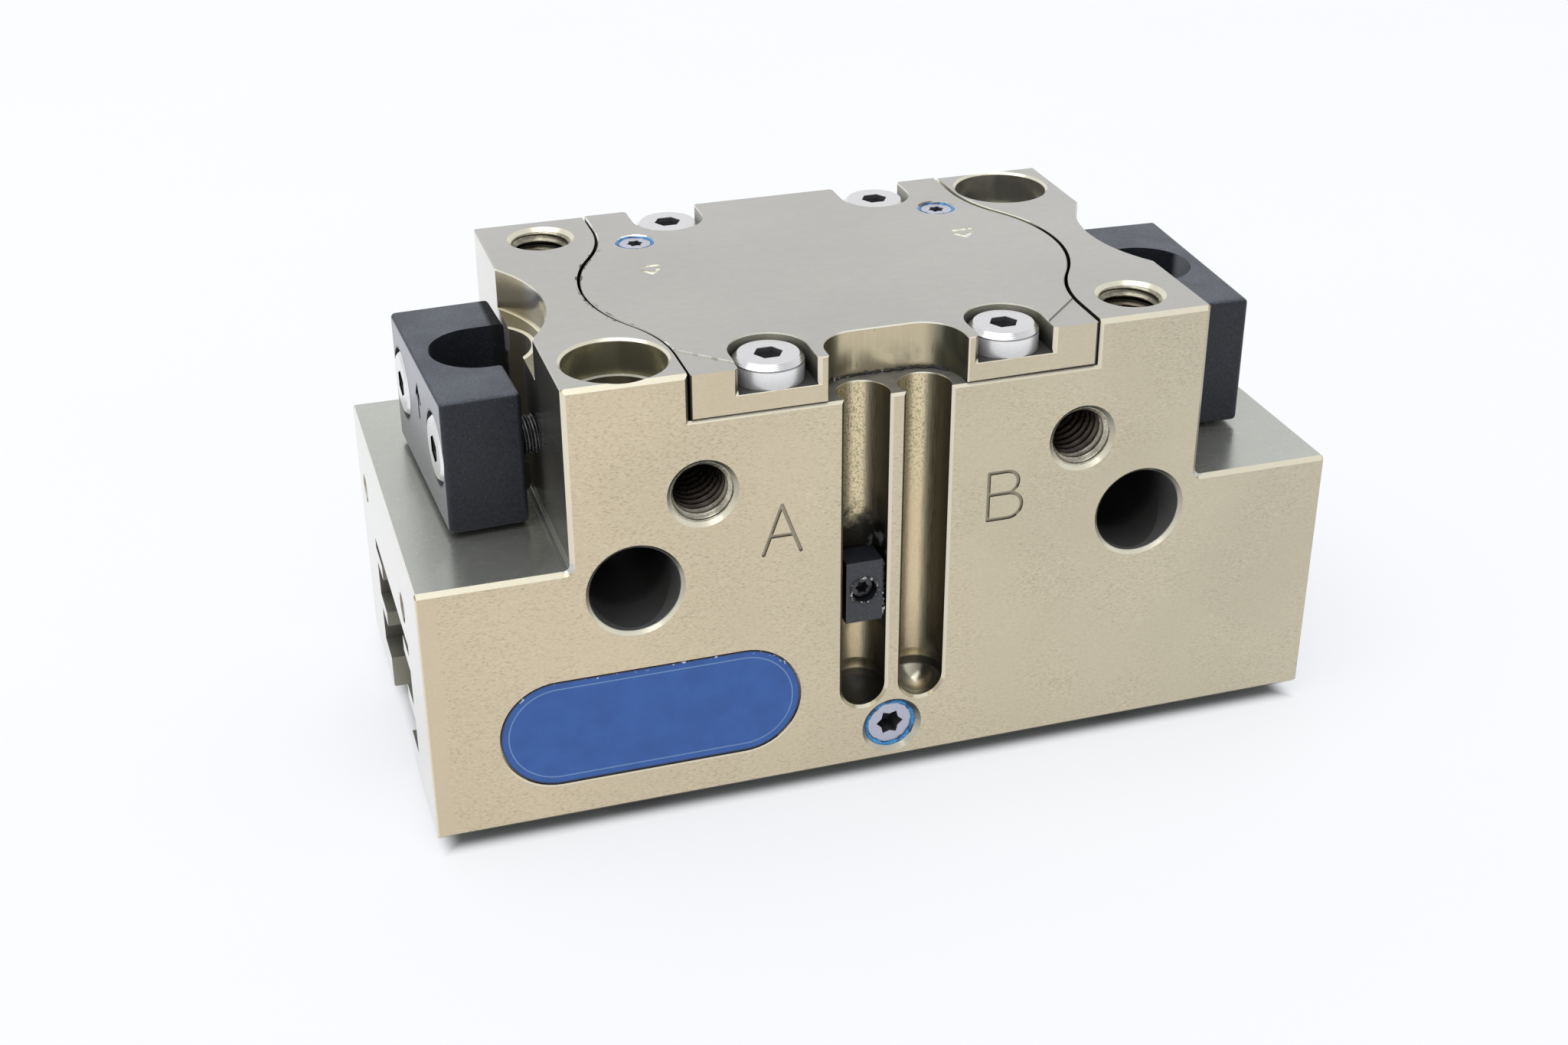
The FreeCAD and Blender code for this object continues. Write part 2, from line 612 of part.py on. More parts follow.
for s in ("-1", "1"):
    # side bolt holes
    x = s + "*side_x"
    tools.append(cyl("y", x, "side_z", "-body_dep/2-1", "-body_dep/2+side_in", "side_r"))
    tools.append(cone("y", x, "side_z", "-body_dep/2-0.2", "-body_dep/2+side_cham", "side_r+side_cham+0.2", "side_r"))
    tools.append(cyl("y", x, "side_z", "0", "body_dep/2+1", "side_thru"))
    tools.append(cone("y", x, "side_z", "body_dep/2-0.3", "body_dep/2+0.2", "side_thru", "side_thru+0.5"))
    # air ports
    x = s + "*port_x"
    tools.append(cyl("y", x, "port_z", "-body_dep/2-1", "-body_dep/2+port_dep", "m5_r"))
    tools.append(cone("y", x, "port_z", "-body_dep/2-0.2", "-body_dep/2+m5_cham", "m5_r+m5_cham+0.2", "m5_r"))
    # sensor slots
    x = s + "*cslot_x"
    tools.append(cyl("z", x, "-cslot_y", "cslot_low", "seat_z+0.3", "cslot_r"))
    tools.append(ball(x, "-cslot_endy", "cslot_low", "cslot_end"))
    # sensor seat and scallops at the tower end
    tools.append(cyl("z", s + "*well_x", "0", "slot_top-0.2", "scal_z+0.1", "well_r"))
    tools.append(cyl("z", s + "*scal_x", "0", "scal_z", "body_top+1", "scal_r"))
    # bracket screw threads
    for t in ("-1", "1"):
        lo = "0" if s == "-1" else "-bs_end"
        c = cyl("x", t + "*bs_y", "bs_z", lo, lo + "+bs_end", "m3_r")
        c.Placement = FreeCAD.Placement(V(), Rot(V(0, 0, 1), -float(s) * num("brk_turn")).multiply(TURN["x"]))
        place(c, "%s*sens_x+cos(brk_turn)*(%s)+(%s)*sin(brk_turn)*(%s*bs_y)" % (s, lo, s, t),
              "cos(brk_turn)*(%s*bs_y)-(%s)*sin(brk_turn)*(%s)" % (t, s, lo), "bs_z")
        tools.append(c)
    # air channel drillings in the end faces
    lo, hi = ("-body_len/2-1", "-body_len/2+chan_dep") if s == "-1" else ("body_len/2-chan_dep", "body_len/2+1")
    tools.append(cyl("x", s + "*chan_ya", "chan_z", lo, hi, "chan_r"))
    tools.append(cyl("x", "-1*" + s + "*chan_yb", "chan_z", lo, hi, "chan_r"))


def duct(p, q):
    """Slanted air drilling between two points."""
    d = V(*q) - V(*p)
    c = new("Part::Cylinder", "duct")
    bind(c, "Radius", "duct_r")
    c.Height = d.Length
    c.Placement = FreeCAD.Placement(V(*p), Rot(V(0, 0, 1), d))
    return c


px, pz = num("port_x"), num("port_z")
tools.append(duct((-px, -10.6, pz + 0.3), (-9.4, -5.6, 30.7)))
tools.append(duct((px, -10.6, pz - 0.3), (9.4, -5.6, 19.8)))
# purge port into the jaw guide
tools.append(cyl("y", "0", "purge_z", "-body_dep/2-1", "-body_dep/2+purge_dep", "purge_r"))
tools.append(cone("y", "0", "purge_z", "-body_dep/2-0.2", "-body_dep/2+purge_cham", "purge_r+purge_cham+0.2", "purge_r"))
tools.append(cyl("y", "0", "purge_z", "-body_dep/2+purge_dep-0.2", "-groove_half+0.5", "duct_r"))
# label pocket
tools.append(oval("y", "lab_x", "lab_z", "lab_c", "lab_r+lab_gap", "-body_dep/2-1", "-body_dep/2+lab_dep"))


# engraved port marks, single strokes on the front face
def stroke(x0, z0, x1, z1):
    run = math.hypot(x1 - x0, z1 - z0)
    b = new("Part::Box", "line")
    b.Length = run
    bind(b, "Width", "1+mark_dep")
    bind(b, "Height", "mark_w")
    turn = Rot(V(0, -1, 0), math.degrees(math.atan2(z1 - z0, x1 - x0)))
    off = turn.multVec(V(0, 0, -num("mark_w") / 2))
    b.Placement = FreeCAD.Placement(V(x0, -hd - 1, z0) + off, turn)
    ends = [cyl("y", repr(x), repr(z), "-body_dep/2-1", "-body_dep/2+mark_dep", "mark_w/2") for x, z in ((x0, z0), (x1, z1))]
    return fuse([b] + ends)


def bow(x, z, r):
    ring = cut(cyl("y", repr(x), repr(z), "-body_dep/2-1", "-body_dep/2+mark_dep", "%r+mark_w/2" % r),
               [cyl("y", repr(x), repr(z), "-body_dep/2-2", "0", "%r-mark_w/2" % r)])
    return common(ring, box(repr(x), repr(x + 3), "-20", "-10", repr(z - 3), repr(z + 3)))


tools += [stroke(-10.8, 20.9, -9.3, 25.0), stroke(-9.3, 25.0, -7.8, 20.9), stroke(-10.25, 22.4, -8.35, 22.4)]
tools += [stroke(7.65, 20.9, 7.65, 25.0), stroke(7.65, 25.0, 9.2, 25.0), stroke(7.65, 23.1, 9.4, 23.1),
          stroke(7.65, 20.9, 9.4, 20.9), bow(9.2, 24.05, 0.95), bow(9.4, 22.0, 1.1)]
# broken edges of the sensor slots and of the cover seat on the front face
deep = "(body_dep/2-cslot_cham-cslot_y)"
wide = "sqrt(cslot_r*cslot_r-%s*%s)" % (deep, deep)
broken = [flare(s + "*cslot_x", wide + "+cslot_cham+0.05", wide + "-0.1", "-body_dep/2-0.05", "-body_dep/2+cslot_cham+0.1",
                "cslot_low", "cslot_low", "seat_z+0.3") for s in ("-1", "1")]
broken += [cone("y", s + "*cslot_x", "cslot_low", "-body_dep/2-0.05", "-body_dep/2+cslot_cham+0.1",
                wide + "+cslot_cham+0.05", wide + "-0.1") for s in ("-1", "1")]
broken += [flare("0", "cover_half+cover_gap+cslot_cham+0.05", "cover_half+cover_gap-0.1", "-body_dep/2-0.05",
                 "-body_dep/2+cslot_cham+0.1", "seat_z-cslot_cham-0.05", "seat_z+0.1", "body_top+1")]
# cut group by group: guide and cylinder, cover seat, holes, slots, seats, marks
groups = [tools[:5], tools[5:9], tools[9:10], tools[10:26], tools[26:48], tools[48:54], broken, tools[54:]]
for group in groups[:-1]:
    block = cut(block, group, tidy=False)
node("housing", cut(block, groups[-1]))

# ---------------------------------------------------------------------------
# Cylinder cover with spigot, screw notches, front bay and plug holes
# ---------------------------------------------------------------------------
plate = wavy("0", "body_dep/2-0.05", "seat_z", "body_top")
rims = edges_where(plate, lambda e: at(e.BoundBox.ZMin, tz) and at(e.BoundBox.ZMax, tz))
plate = dress("Chamfer", plate, [(i, num("cover_rim")) for i in rims])
plate = fuse([plate, oval("z", "0", "0", "cyl_c", "cyl_r-spigot_gap", "seat_z-spigot_dep", "seat_z+0.5")])
tools = []
for sy in (-1, 1):
    lo, hi = ("-body_dep/2-1", "-body_dep/2+1.1") if sy < 0 else ("body_dep/2-1.1", "body_dep/2+1")
    tools.append(box("-cover_half-1", "cover_half+1", lo, hi, "seat_z-0.5", "seat_z+cover_lift"))
bay = box("-bay_half", "bay_half", "-body_dep/2-1", "-bay_y", "seat_z-0.001", "body_top+1")
backs = edges_where(bay, lambda e: at(abs(e.CenterOfMass.x), num("bay_half")) and at(e.CenterOfMass.y, -num("bay_y"))
                    and e.BoundBox.ZLength > 1)
tools.append(dress("Fillet", bay, [(i, num("bay_fil")) for i in backs]))
tools.append(flare("0", "bay_half+bay_brk+0.05", "bay_half-0.1", "-body_dep/2", "-body_dep/2+bay_brk+0.15", "seat_z-0.5", "seat_z-0.5",
                   "body_top+1"))
for sx in ("-1", "1"):
    for sy in ("-1", "1"):
        x, y = sx + "*cs_x", sy + "*cs_y"
        tools.append(cyl("z", x, y, "notch_z", "body_top+1", "notch_r"))
        lo, hi = ("-body_dep/2-1", "-cs_y") if sy == "-1" else ("cs_y", "body_dep/2+1")
        tools.append(box("%s-notch_r" % x, "%s+notch_r" % x, lo, hi, "notch_z", "body_top+1"))
        tools.append(cyl("z", x, y, "seat_z-1", "body_top", "m3_clear"))
        out, inn = ("notch_r+notch_cham+0.05", "notch_z-0.1"), ("notch_r-0.1", "notch_z+notch_cham+0.05")
        if sy == "-1":
            tools.append(flare(x, out[0], inn[0], "-body_dep/2", "-body_dep/2+notch_cham+0.15", out[1], inn[1], "body_top+1"))
        else:
            tools.append(flare(x, inn[0], out[0], "body_dep/2-notch_cham-0.15", "body_dep/2", inn[1], out[1], "body_top+1"))
    x = sx + "*plug_x"
    tools.append(cyl("z", x, "plug_y", "seat_z-1", "body_top+1", "m3_r"))
    tools.append(cone("z", x, "plug_y", "body_top-0.2", "body_top+0.2", "m3_r", "m3_r+0.4"))
    # shallow relief across the front corners
    r = new("Part::Box", "relief")
    r.Length, r.Width = 12.0, 6.0
    r.Height = 2.0
    ang = 45.0 if sx == "1" else -45.0
    mid = num("corner_sum") / 2
    turn = Rot(V(0, 0, 1), ang)
    pos = V(float(sx) * mid, -mid, tz - num("corner_dep")) + turn.multVec(V(-6, -6, 0))
    r.Placement = FreeCAD.Placement(pos, turn)
    tools.append(r)
# small plain marks beside the plugs: a bar and an arrow head on each side
for s in (-1, 1):
    x = s * 13.6
    tools.append(box(repr(x - 0.9), repr(x + 0.9), "4.05", "4.5", "body_top-0.1", "body_top+1"))
    for t in (-1, 1):
        b = new("Part::Box", "tick")
        b.Length, b.Width, b.Height = 1.3, 0.4, 1.0
        turn = Rot(V(0, 0, 1), 90 + s * t * 40.0 - 90)
        b.Placement = FreeCAD.Placement(V(x + (0 if t * s < 0 else -0.0), 2.6, tz - 0.1), Rot(V(0, 0, 1), 90 + t * 38.0))
        tools.append(b)
node("cylinder_cover", cut(plate, tools))


def moved(obj, x, y, z, turn=None):
    obj.Placement = FreeCAD.Placement(V(), turn or Rot())
    place(obj, x, y, z)
    return obj


node("cover_screws", compound([
    moved(low_screw("m3_head", "m3_headht", "m3_shank", "cs_len", "m3_hex", "m3_hexdep", "head_cham"),
          sx + "*cs_x", sy + "*cs_y", "notch_z") for sx in ("-1", "1") for sy in ("-1", "1")]))

seal = body("seal")
s = sketch(seal, z="seat_z-oring_dep")
draw_oval(s, "cyl_c", "oring_out-0.03", num("cyl_c"), num("oring_out") - 0.03)
pad(seal, s, "oring_dep")
s = sketch(seal, z="seat_z-oring_dep")
draw_oval(s, "cyl_c", "oring_in+0.03", num("cyl_c"), num("oring_in") + 0.03)
pocket(seal, s, "oring_dep+1", up=True)
node("cover_seal", seal)

node("direct_port_plugs", compound([
    moved(plug_screw("m3_shank", "3.2", "0.72", "0.52", "1.4"), sx + "*plug_x", "plug_y", "body_top-0.15")
    for sx in ("-1", "1")]))
node("purge_plug", compound([moved(plug_screw("purge_r-0.05", "4.6", "1.15", "0.82", "1.8"),
                                   "0", "-body_dep/2+0.55", "purge_z", Rot(V(1, 0, 0), 90))]))
node("channel_plugs", compound(
    [ball("%d*(body_len/2-ball_in)" % s, "%d*chan_ya" % s, "chan_z", "ball_r") for s in (-1, 1)]
    + [ball("%d*(body_len/2-ball_in)" % s, "%d*chan_yb" % -s, "chan_z", "ball_r") for s in (-1, 1)]))

lab = body("label")
s = sketch(lab, role="XZ_Plane", x="lab_x", y="lab_z", z="body_dep/2-lab_dep")
draw_oval(s, "lab_c", "lab_r", num("lab_c"), num("lab_r"))
pad(lab, s, "lab_thick")
node("label_plate", lab)

ring = body("rodring")
s = sketch(ring, z="rodseal_low+0.03")
draw_circle(s, "rodseal_r-0.03")
pad(ring, s, "rodseal_ht-0.06")
s = sketch(ring, z="rodseal_low+0.03")
draw_circle(s, "rod_r+rod_gap")
pocket(ring, s, "rodseal_ht+1", up=True)
node("rod_seal", ring)

# ---------------------------------------------------------------------------
# Sensor brackets and their screws
# ---------------------------------------------------------------------------
# Laid out round the sensor axis, then turned: the rear arm's nose bears on the
# tower and the front arm is drawn in by its screw
for sgn, side in SIDES:
    s = "%d" % sgn

    def span(a, b):
        """Run along X from a to b, counted from the sensor axis towards the tower."""
        return (a, b) if sgn < 0 else ("-(%s)" % b, "-(%s)" % a)

    b = box(*span("-brk_out", "brk_nose"), "-brk_y", "brk_y", "brk_low", "brk_top")
    b = cut(b, [box(*span("brk_arm", "brk_nose+1"), "-brk_y-1", "0", "brk_low-1", "brk_top+1"),
                box(*span("0", "brk_nose+1"), "-brk_bore", "brk_bore", "brk_low-1", "brk_top+1"),
                cyl("z", "0", "0", "brk_low-1", "brk_top+1", "brk_bore")])
    zl, zh, ya = num("brk_low"), num("brk_top"), num("brk_y")

    def broken_edge(e):
        c = e.CenterOfMass
        flat = at(e.BoundBox.ZMin, e.BoundBox.ZMax)
        bore = e.Curve.TypeId == "Part::GeomCircle" or at(abs(c.y), num("brk_bore"))
        return not bore and (flat or at(abs(c.y), ya))

    b = dress("Fillet", b, [(i, num("brk_fil")) for i in edges_where(b, broken_edge)])
    tools = []
    for t in ("-1", "1"):
        tools.append(cyl("x", t + "*bs_y", "bs_z", *span("-brk_out-1", "brk_nose+1"), "m3_clear"))
        tools.append(cyl("x", t + "*bs_y", "bs_z", *span("-brk_out-1", "m3_headht-brk_out-bs_proud"), "bs_head"))
    # arrow mark on the outer face
    tools.append(box(*span("-brk_out-1", "slit_dep-brk_out"), "-0.55-slit_w/2", "-0.55+slit_w/2", "bs_z-0.1", "brk_top-2.2"))
    for t in (-1, 1):
        k = new("Part::Box", "tick")
        k.Length = 2.0
        bind(k, "Width", "slit_w")
        k.Height = 1.5
        k.Placement = FreeCAD.Placement(V(), Rot(V(1, 0, 0), t * 32.0))
        place(k, span("-brk_out-2+slit_dep", "-brk_out+slit_dep")[0], "-0.55-slit_w/2+%d*0.78" % t, "brk_top-3.5")
        tools.append(k)
    node("sensor_bracket_" + side, turned(cut(b, tools), s))
    turn = Rot(V(0, 1, 0), 90 * sgn)
    node("bracket_screws_" + side, turned(compound([
        moved(low_screw("m3_head", "m3_headht", "m3_shank", "bs_len", "m3_hex", "m3_hexdep", "head_cham"),
              s + "*(brk_out+bs_proud-m3_headht)", t + "*bs_y", "bs_z", turn) for t in ("-1", "1")]), s))

# ---------------------------------------------------------------------------
# Piston, its seal, magnets and screw
# ---------------------------------------------------------------------------
pr = num("cyl_r") - num("pis_gap")
pis = body("piston")
s = sketch(pis, z="pis_low")
draw_oval(s, "cyl_c", "cyl_r-pis_gap", num("cyl_c"), pr)
pad(pis, s, "pseal_low-pis_low")
s = sketch(pis, z="pseal_low")
draw_oval(s, "cyl_c", "cyl_r-pis_gap-pseal_dep", num("cyl_c"), pr - num("pseal_dep"))
pad(pis, s, "pseal_ht")
s = sketch(pis, z="pseal_low+pseal_ht")
draw_oval(s, "cyl_c", "cyl_r-pis_gap", num("cyl_c"), pr)
pad(pis, s, "pis_top-pseal_low-pseal_ht")
s = sketch(pis, z="pis_top")
draw_circle(s, "ps_head+0.15")
pocket(pis, s, "ps_headht+0.1")
s = sketch(pis, z="pis_top")
draw_circle(s, "ps_shank+0.14")
pocket(pis, s, "pis_top-pis_low+1")
for m in ("-1", "1"):
    s = sketch(pis, z="pis_top", x=m + "*cslot_x", y="-mag_y")
    draw_circle(s, "mag_r+0.05")
    pocket(pis, s, "mag_dep")
node("piston", pis)

pseal = body("pistonring")
s = sketch(pseal, z="pseal_low+0.05")
draw_oval(s, "cyl_c", "cyl_r-pseal_gap", num("cyl_c"), num("cyl_r") - num("pseal_gap"))
pad(pseal, s, "pseal_ht-0.1")
s = sketch(pseal, z="pseal_low+0.05")
draw_oval(s, "cyl_c", "cyl_r-pis_gap-pseal_dep+0.05", num("cyl_c"), pr - num("pseal_dep") + 0.05)
pocket(pseal, s, "pseal_ht+1", up=True)
node("piston_seal", pseal)

node("piston_magnets", compound([cyl("z", m + "*cslot_x", "-mag_y", "pis_top-mag_dep+0.02", "pis_top-0.1", "mag_r")
                                 for m in ("-1", "1")]))
node("piston_screw", compound([moved(low_screw("ps_head", "ps_headht", "ps_shank", "ps_len", "ps_hex", "1.6", "head_cham"),
                                     "0", "0", "pis_top-ps_headht-0.1")]))

# Wedge hook: rod, web and a slanting head each side
parts = [cyl("z", "0", "0", "hook_low", "pis_low", "rod_r")]
rise = "hook_slope*(hook_top-hook_low)"
web = "hook_x-hook_head/2"
parts.append(slant("-(%s)" % web, web, "-(%s+%s)" % (web, rise), "%s+%s" % (web, rise), "web_y", "hook_low", "hook_top"))
for sgn, side in SIDES:
    a, b = "hook_x-hook_head", "hook_x"
    if sgn > 0:
        parts.append(slant(a, b, "%s+%s" % (a, rise), "%s+%s" % (b, rise), "hook_y", "hook_low", "hook_top"))
    else:
        parts.append(slant("-(%s)" % b, "-(%s)" % a, "-(%s+%s)" % (b, rise), "-(%s+%s)" % (a, rise), "hook_y",
                           "hook_low", "hook_top"))
node("wedge_hook", cut(fuse(parts), [cyl("z", "0", "0", "pis_top-ps_headht-ps_len-1", "pis_low+1", "m5_r")]))

# ---------------------------------------------------------------------------
# Base jaws with their control cams, closed
# ---------------------------------------------------------------------------
for sgn, side in SIDES:
    s = "%d" % sgn

    def bar(x0, x1, half, z0, z1, low=None):
        lo, hi = (x0, x1) if sgn > 0 else ("-(%s)" % x1, "-(%s)" % x0)
        return box(lo, hi, "-(%s)" % half, half, z0, z1)

    def lean(x0, x1, half, z0, z1):
        """Slanting bar along the hook flank; x0 and x1 are taken at the hook underside."""
        d0, d1 = "hook_slope*(%s-hook_low)" % z0, "hook_slope*(%s-hook_low)" % z1
        a0, a1 = "%s+%s" % (x0, d0), "%s+%s" % (x1, d0)
        b0, b1 = "%s+%s" % (x0, d1), "%s+%s" % (x1, d1)
        if sgn > 0:
            return slant(a0, a1, b0, b1, half, z0, z1)
        return slant("-(%s)" % a1, "-(%s)" % a0, "-(%s)" % b1, "-(%s)" % b0, half, z0, z1)

    core = bar("jaw_mid", "jaw_end", "slot_half-run_gap", "-jaw_proud", "slot_top-run_gap")
    low = edges_where(core, lambda e: at(e.BoundBox.ZMax, -num("jaw_proud")))
    tall = edges_where(core, lambda e: e.BoundBox.ZLength > 5 and abs(e.CenterOfMass.x) > 20)
    core = dress("Chamfer", core, [(i, num("jaw_cham")) for i in low + tall])
    teeth = [bar("jaw_mid", "jaw_end", "groove_half-run_gap", "groove_low+%d*groove_step+run_gap" % k,
                 "slot_top-run_gap" if k == 2 else "groove_low+groove_ht+%d*groove_step-run_gap" % k) for k in range(3)]
    tools = [lean("-30", "hook_x-jaw_lip", "20", "-2", "slot_top+2"),
             lean("hook_x-hook_head-hook_gap", "hook_x+hook_gap", "hook_y+hook_gap", "jaw_floor", "slot_top+2"),
             lean("hook_x-jaw_lip-1", "hook_x", "web_y+hook_gap", "jaw_floor", "slot_top+2")]
    for x in ("fing_xa", "fing_xb"):
        tools.append(cyl("z", s + "*" + x, "0", "-jaw_proud-1", "-jaw_proud+fing_dep", "m4_r"))
        tools.append(cyl("z", s + "*" + x, "0", "-jaw_proud-1", "-jaw_proud+fsl_dep", "fsl_r"))
        tools.append(cone("z", s + "*" + x, "0", "-jaw_proud-0.2", "-jaw_proud+0.2", "fsl_r+0.4", "fsl_r"))
    tools.append(bar("cam_ditch", "jaw_end+1", "cam_y", "cam_low", "slot_top+1"))
    tools.append(cyl("z", s + "*camscrew_x", "0", "camscrew_low-0.3", "cam_low+1", "camscrew_r+0.04"))
    node("jaw_" + side, cut(fuse([core] + teeth), tools))
    cam = bar("cam_in", "jaw_end", "cam_y-cam_gap", "cam_low", "slot_top-run_gap-0.1")
    top = "slot_top-run_gap-0.1"
    node("control_cam_" + side, cut(cam, [
        cyl("z", s + "*camscrew_x", "0", "cam_low-1", "slot_top+1", "camscrew_r+0.14"),
        cone("z", s + "*camscrew_x", "0", top + "-1.0", top + "+0.1", "camscrew_r+0.1", "camscrew_r+1.2")]))
    screw = fuse([cyl("z", s + "*camscrew_x", "0", "camscrew_low", top + "-0.95", "camscrew_r"),
                  cone("z", s + "*camscrew_x", "0", top + "-1.0", top + "-0.1", "camscrew_r+0.02", "camscrew_r+0.92")])
    node("cam_screw_" + side, cut(screw, [box(s + "*camscrew_x-0.2", s + "*camscrew_x+0.2", "-3", "3", top + "-0.5", "slot_top")]))

# ---------------------------------------------------------------------------
# Switch clamp in the left sensor slot, with its set screw
# ---------------------------------------------------------------------------
core = common(cyl("z", "-cslot_x", "-cslot_y", "clamp_low", "clamp_top", "clamp_r"),
              box("-cslot_x-clamp_half", "-cslot_x+clamp_half", "-clamp_face", "-clamp_back", "clamp_low-1", "clamp_top+1"))
node("switch_clamp", cut(core, [cyl("y", "-cslot_x", "clampscrew_z", "-clamp_face-1", "-clamp_back+1", "clampscrew_r+0.05")]))
node("switch_clamp_screw", compound([moved(plug_screw("clampscrew_r", "1.7", "0.6", "0.42", "0.9"),
                                           "-cslot_x", "-clamp_face+0.55", "clampscrew_z", Rot(V(1, 0, 0), 90))]))

# ---------------------------------------------------------------------------
# Tests, then one file for each sub-part
# ---------------------------------------------------------------------------
doc.recompute()
bad = [o.Name for o in doc.Objects if "Invalid" in o.State or "Error" in o.State]
if bad:
    raise RuntimeError("failed objects: " + ", ".join(bad))
for name, obj in NODES.items():
    if obj.Shape.isNull() or not obj.Shape.isValid() or not obj.Shape.Solids:
        raise RuntimeError("bad shape: " + name)
os.makedirs("parts", exist_ok=True)
for name, obj in NODES.items():
    obj.Shape.exportStep("parts/%s.step" % name)
    b = obj.Shape.BoundBox
    print("%-22s solids %d vol %9.2f  x %7.2f %7.2f  y %7.2f %7.2f  z %6.2f %6.2f" % (
        name, len(obj.Shape.Solids), obj.Shape.Volume, b.XMin, b.XMax, b.YMin, b.YMax, b.ZMin, b.ZMax))
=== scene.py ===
import bpy
import math
import random
from mathutils import Matrix, Vector, noise as mnoise


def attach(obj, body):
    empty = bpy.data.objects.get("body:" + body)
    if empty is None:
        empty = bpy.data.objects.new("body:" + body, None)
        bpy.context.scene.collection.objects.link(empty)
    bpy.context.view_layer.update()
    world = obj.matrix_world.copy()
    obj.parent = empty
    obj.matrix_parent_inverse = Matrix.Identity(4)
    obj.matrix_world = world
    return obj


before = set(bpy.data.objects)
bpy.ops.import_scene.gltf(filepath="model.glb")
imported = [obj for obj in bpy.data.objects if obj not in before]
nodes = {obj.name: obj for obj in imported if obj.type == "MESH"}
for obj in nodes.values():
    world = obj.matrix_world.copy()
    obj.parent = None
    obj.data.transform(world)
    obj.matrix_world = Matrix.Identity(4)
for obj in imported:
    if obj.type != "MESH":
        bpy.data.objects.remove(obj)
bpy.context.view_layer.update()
LIFT = 1.1                      # housing underside above the stand plane, in millimetres
MM = 0.001


# ---------------------------------------------------------------------------
# Node helper. Positions in the materials are millimetres; heights count from the
# underside of the housing.
# ---------------------------------------------------------------------------
class Net:
    def __init__(self, name):
        self.m = bpy.data.materials.new(name)
        self.m.use_nodes = True
        self.t = self.m.node_tree
        self.t.nodes.clear()
        self.out = self.t.nodes.new("ShaderNodeOutputMaterial")
        self.b = self.t.nodes.new("ShaderNodeBsdfPrincipled")
        self.t.links.new(self.b.outputs[0], self.out.inputs[0])
        tc = self.t.nodes.new("ShaderNodeTexCoord")
        v = self.t.nodes.new("ShaderNodeVectorMath")
        v.operation = "SCALE"
        self.t.links.new(tc.outputs["Object"], v.inputs[0])
        v.inputs["Scale"].default_value = 1000.0
        self.pos = v.outputs[0]
        self.x, self.y, z = self.sep(self.pos)
        self.z = self.sub(z, LIFT)
        nx, ny, nz = self.sep(tc.outputs["Normal"])
        self.nx, self.ny, self.nz = (self.math("ABSOLUTE", n) for n in (nx, ny, nz))
        self.nxs, self.nys, self.nzs = nx, ny, nz
        self.ax, self.ay = self.math("ABSOLUTE", self.x), self.math("ABSOLUTE", self.y)

    def put(self, sock, v):
        if isinstance(v, bpy.types.NodeSocket):
            self.t.links.new(v, sock)
        elif sock.type == "RGBA" and len(v) == 3:
            sock.default_value = (v[0], v[1], v[2], 1.0)
        else:
            sock.default_value = v

    def sep(self, v):
        n = self.t.nodes.new("ShaderNodeSeparateXYZ")
        self.t.links.new(v, n.inputs[0])
        return n.outputs[0], n.outputs[1], n.outputs[2]

    def math(self, op, a, b=None, c=None, clamp=False):
        n = self.t.nodes.new("ShaderNodeMath")
        n.operation = op
        n.use_clamp = clamp
        for i, v in enumerate((a, b, c)):
            if v is not None:
                self.put(n.inputs[i], v)
        return n.outputs[0]

    def add(self, a, b): return self.math("ADD", a, b)
    def sub(self, a, b): return self.math("SUBTRACT", a, b)
    def mul(self, a, b): return self.math("MULTIPLY", a, b)
    def mx(self, a, b): return self.math("MAXIMUM", a, b)
    def mn(self, a, b): return self.math("MINIMUM", a, b)
    def inv(self, a): return self.math("SUBTRACT", 1.0, a)

    def hypot(self, a, b):
        return self.math("SQRT", self.add(self.mul(a, a), self.mul(b, b)))

    def step(self, v, lo, hi, a=0.0, b=1.0):
        n = self.t.nodes.new("ShaderNodeMapRange")
        n.interpolation_type = "SMOOTHSTEP"
        self.put(n.inputs["Value"], v)
        for k, w in (("From Min", lo), ("From Max", hi), ("To Min", a), ("To Max", b)):
            n.inputs[k].default_value = w
        return n.outputs[0]

    def band(self, v, lo, hi, soft=0.02):
        return self.mul(self.step(v, lo - soft, lo), self.step(v, hi, hi + soft, 1.0, 0.0))

    def stretch(self, s, v=None):
        n = self.t.nodes.new("ShaderNodeVectorMath")
        n.operation = "MULTIPLY"
        self.t.links.new(v if v is not None else self.pos, n.inputs[0])
        n.inputs[1].default_value = s
        return n.outputs[0]

    def noise(self, scale, detail=3.0, rough=0.55, stretch=(1, 1, 1), distort=0.0):
        n = self.t.nodes.new("ShaderNodeTexNoise")
        self.t.links.new(self.stretch(stretch), n.inputs["Vector"])
        n.inputs["Scale"].default_value = scale
        n.inputs["Detail"].default_value = detail
        n.inputs["Roughness"].default_value = rough
        n.inputs["Distortion"].default_value = distort
        return n.outputs["Fac"]

    def cells(self, scale, stretch=(1, 1, 1), feature="F1"):
        n = self.t.nodes.new("ShaderNodeTexVoronoi")
        n.feature = feature
        self.t.links.new(self.stretch(stretch), n.inputs["Vector"])
        n.inputs["Scale"].default_value = scale
        return n.outputs["Distance"]

    def mix(self, f, a, b, mode="MIX"):
        n = self.t.nodes.new("ShaderNodeMix")
        n.data_type = "RGBA"
        n.blend_type = mode
        self.put(n.inputs[0], f)
        self.put(n.inputs[6], a)
        self.put(n.inputs[7], b)
        return n.outputs[2]

    def mixf(self, f, a, b):
        n = self.t.nodes.new("ShaderNodeMix")
        n.data_type = "FLOAT"
        self.put(n.inputs[0], f)
        self.put(n.inputs[2], a)
        self.put(n.inputs[3], b)
        return n.outputs[0]

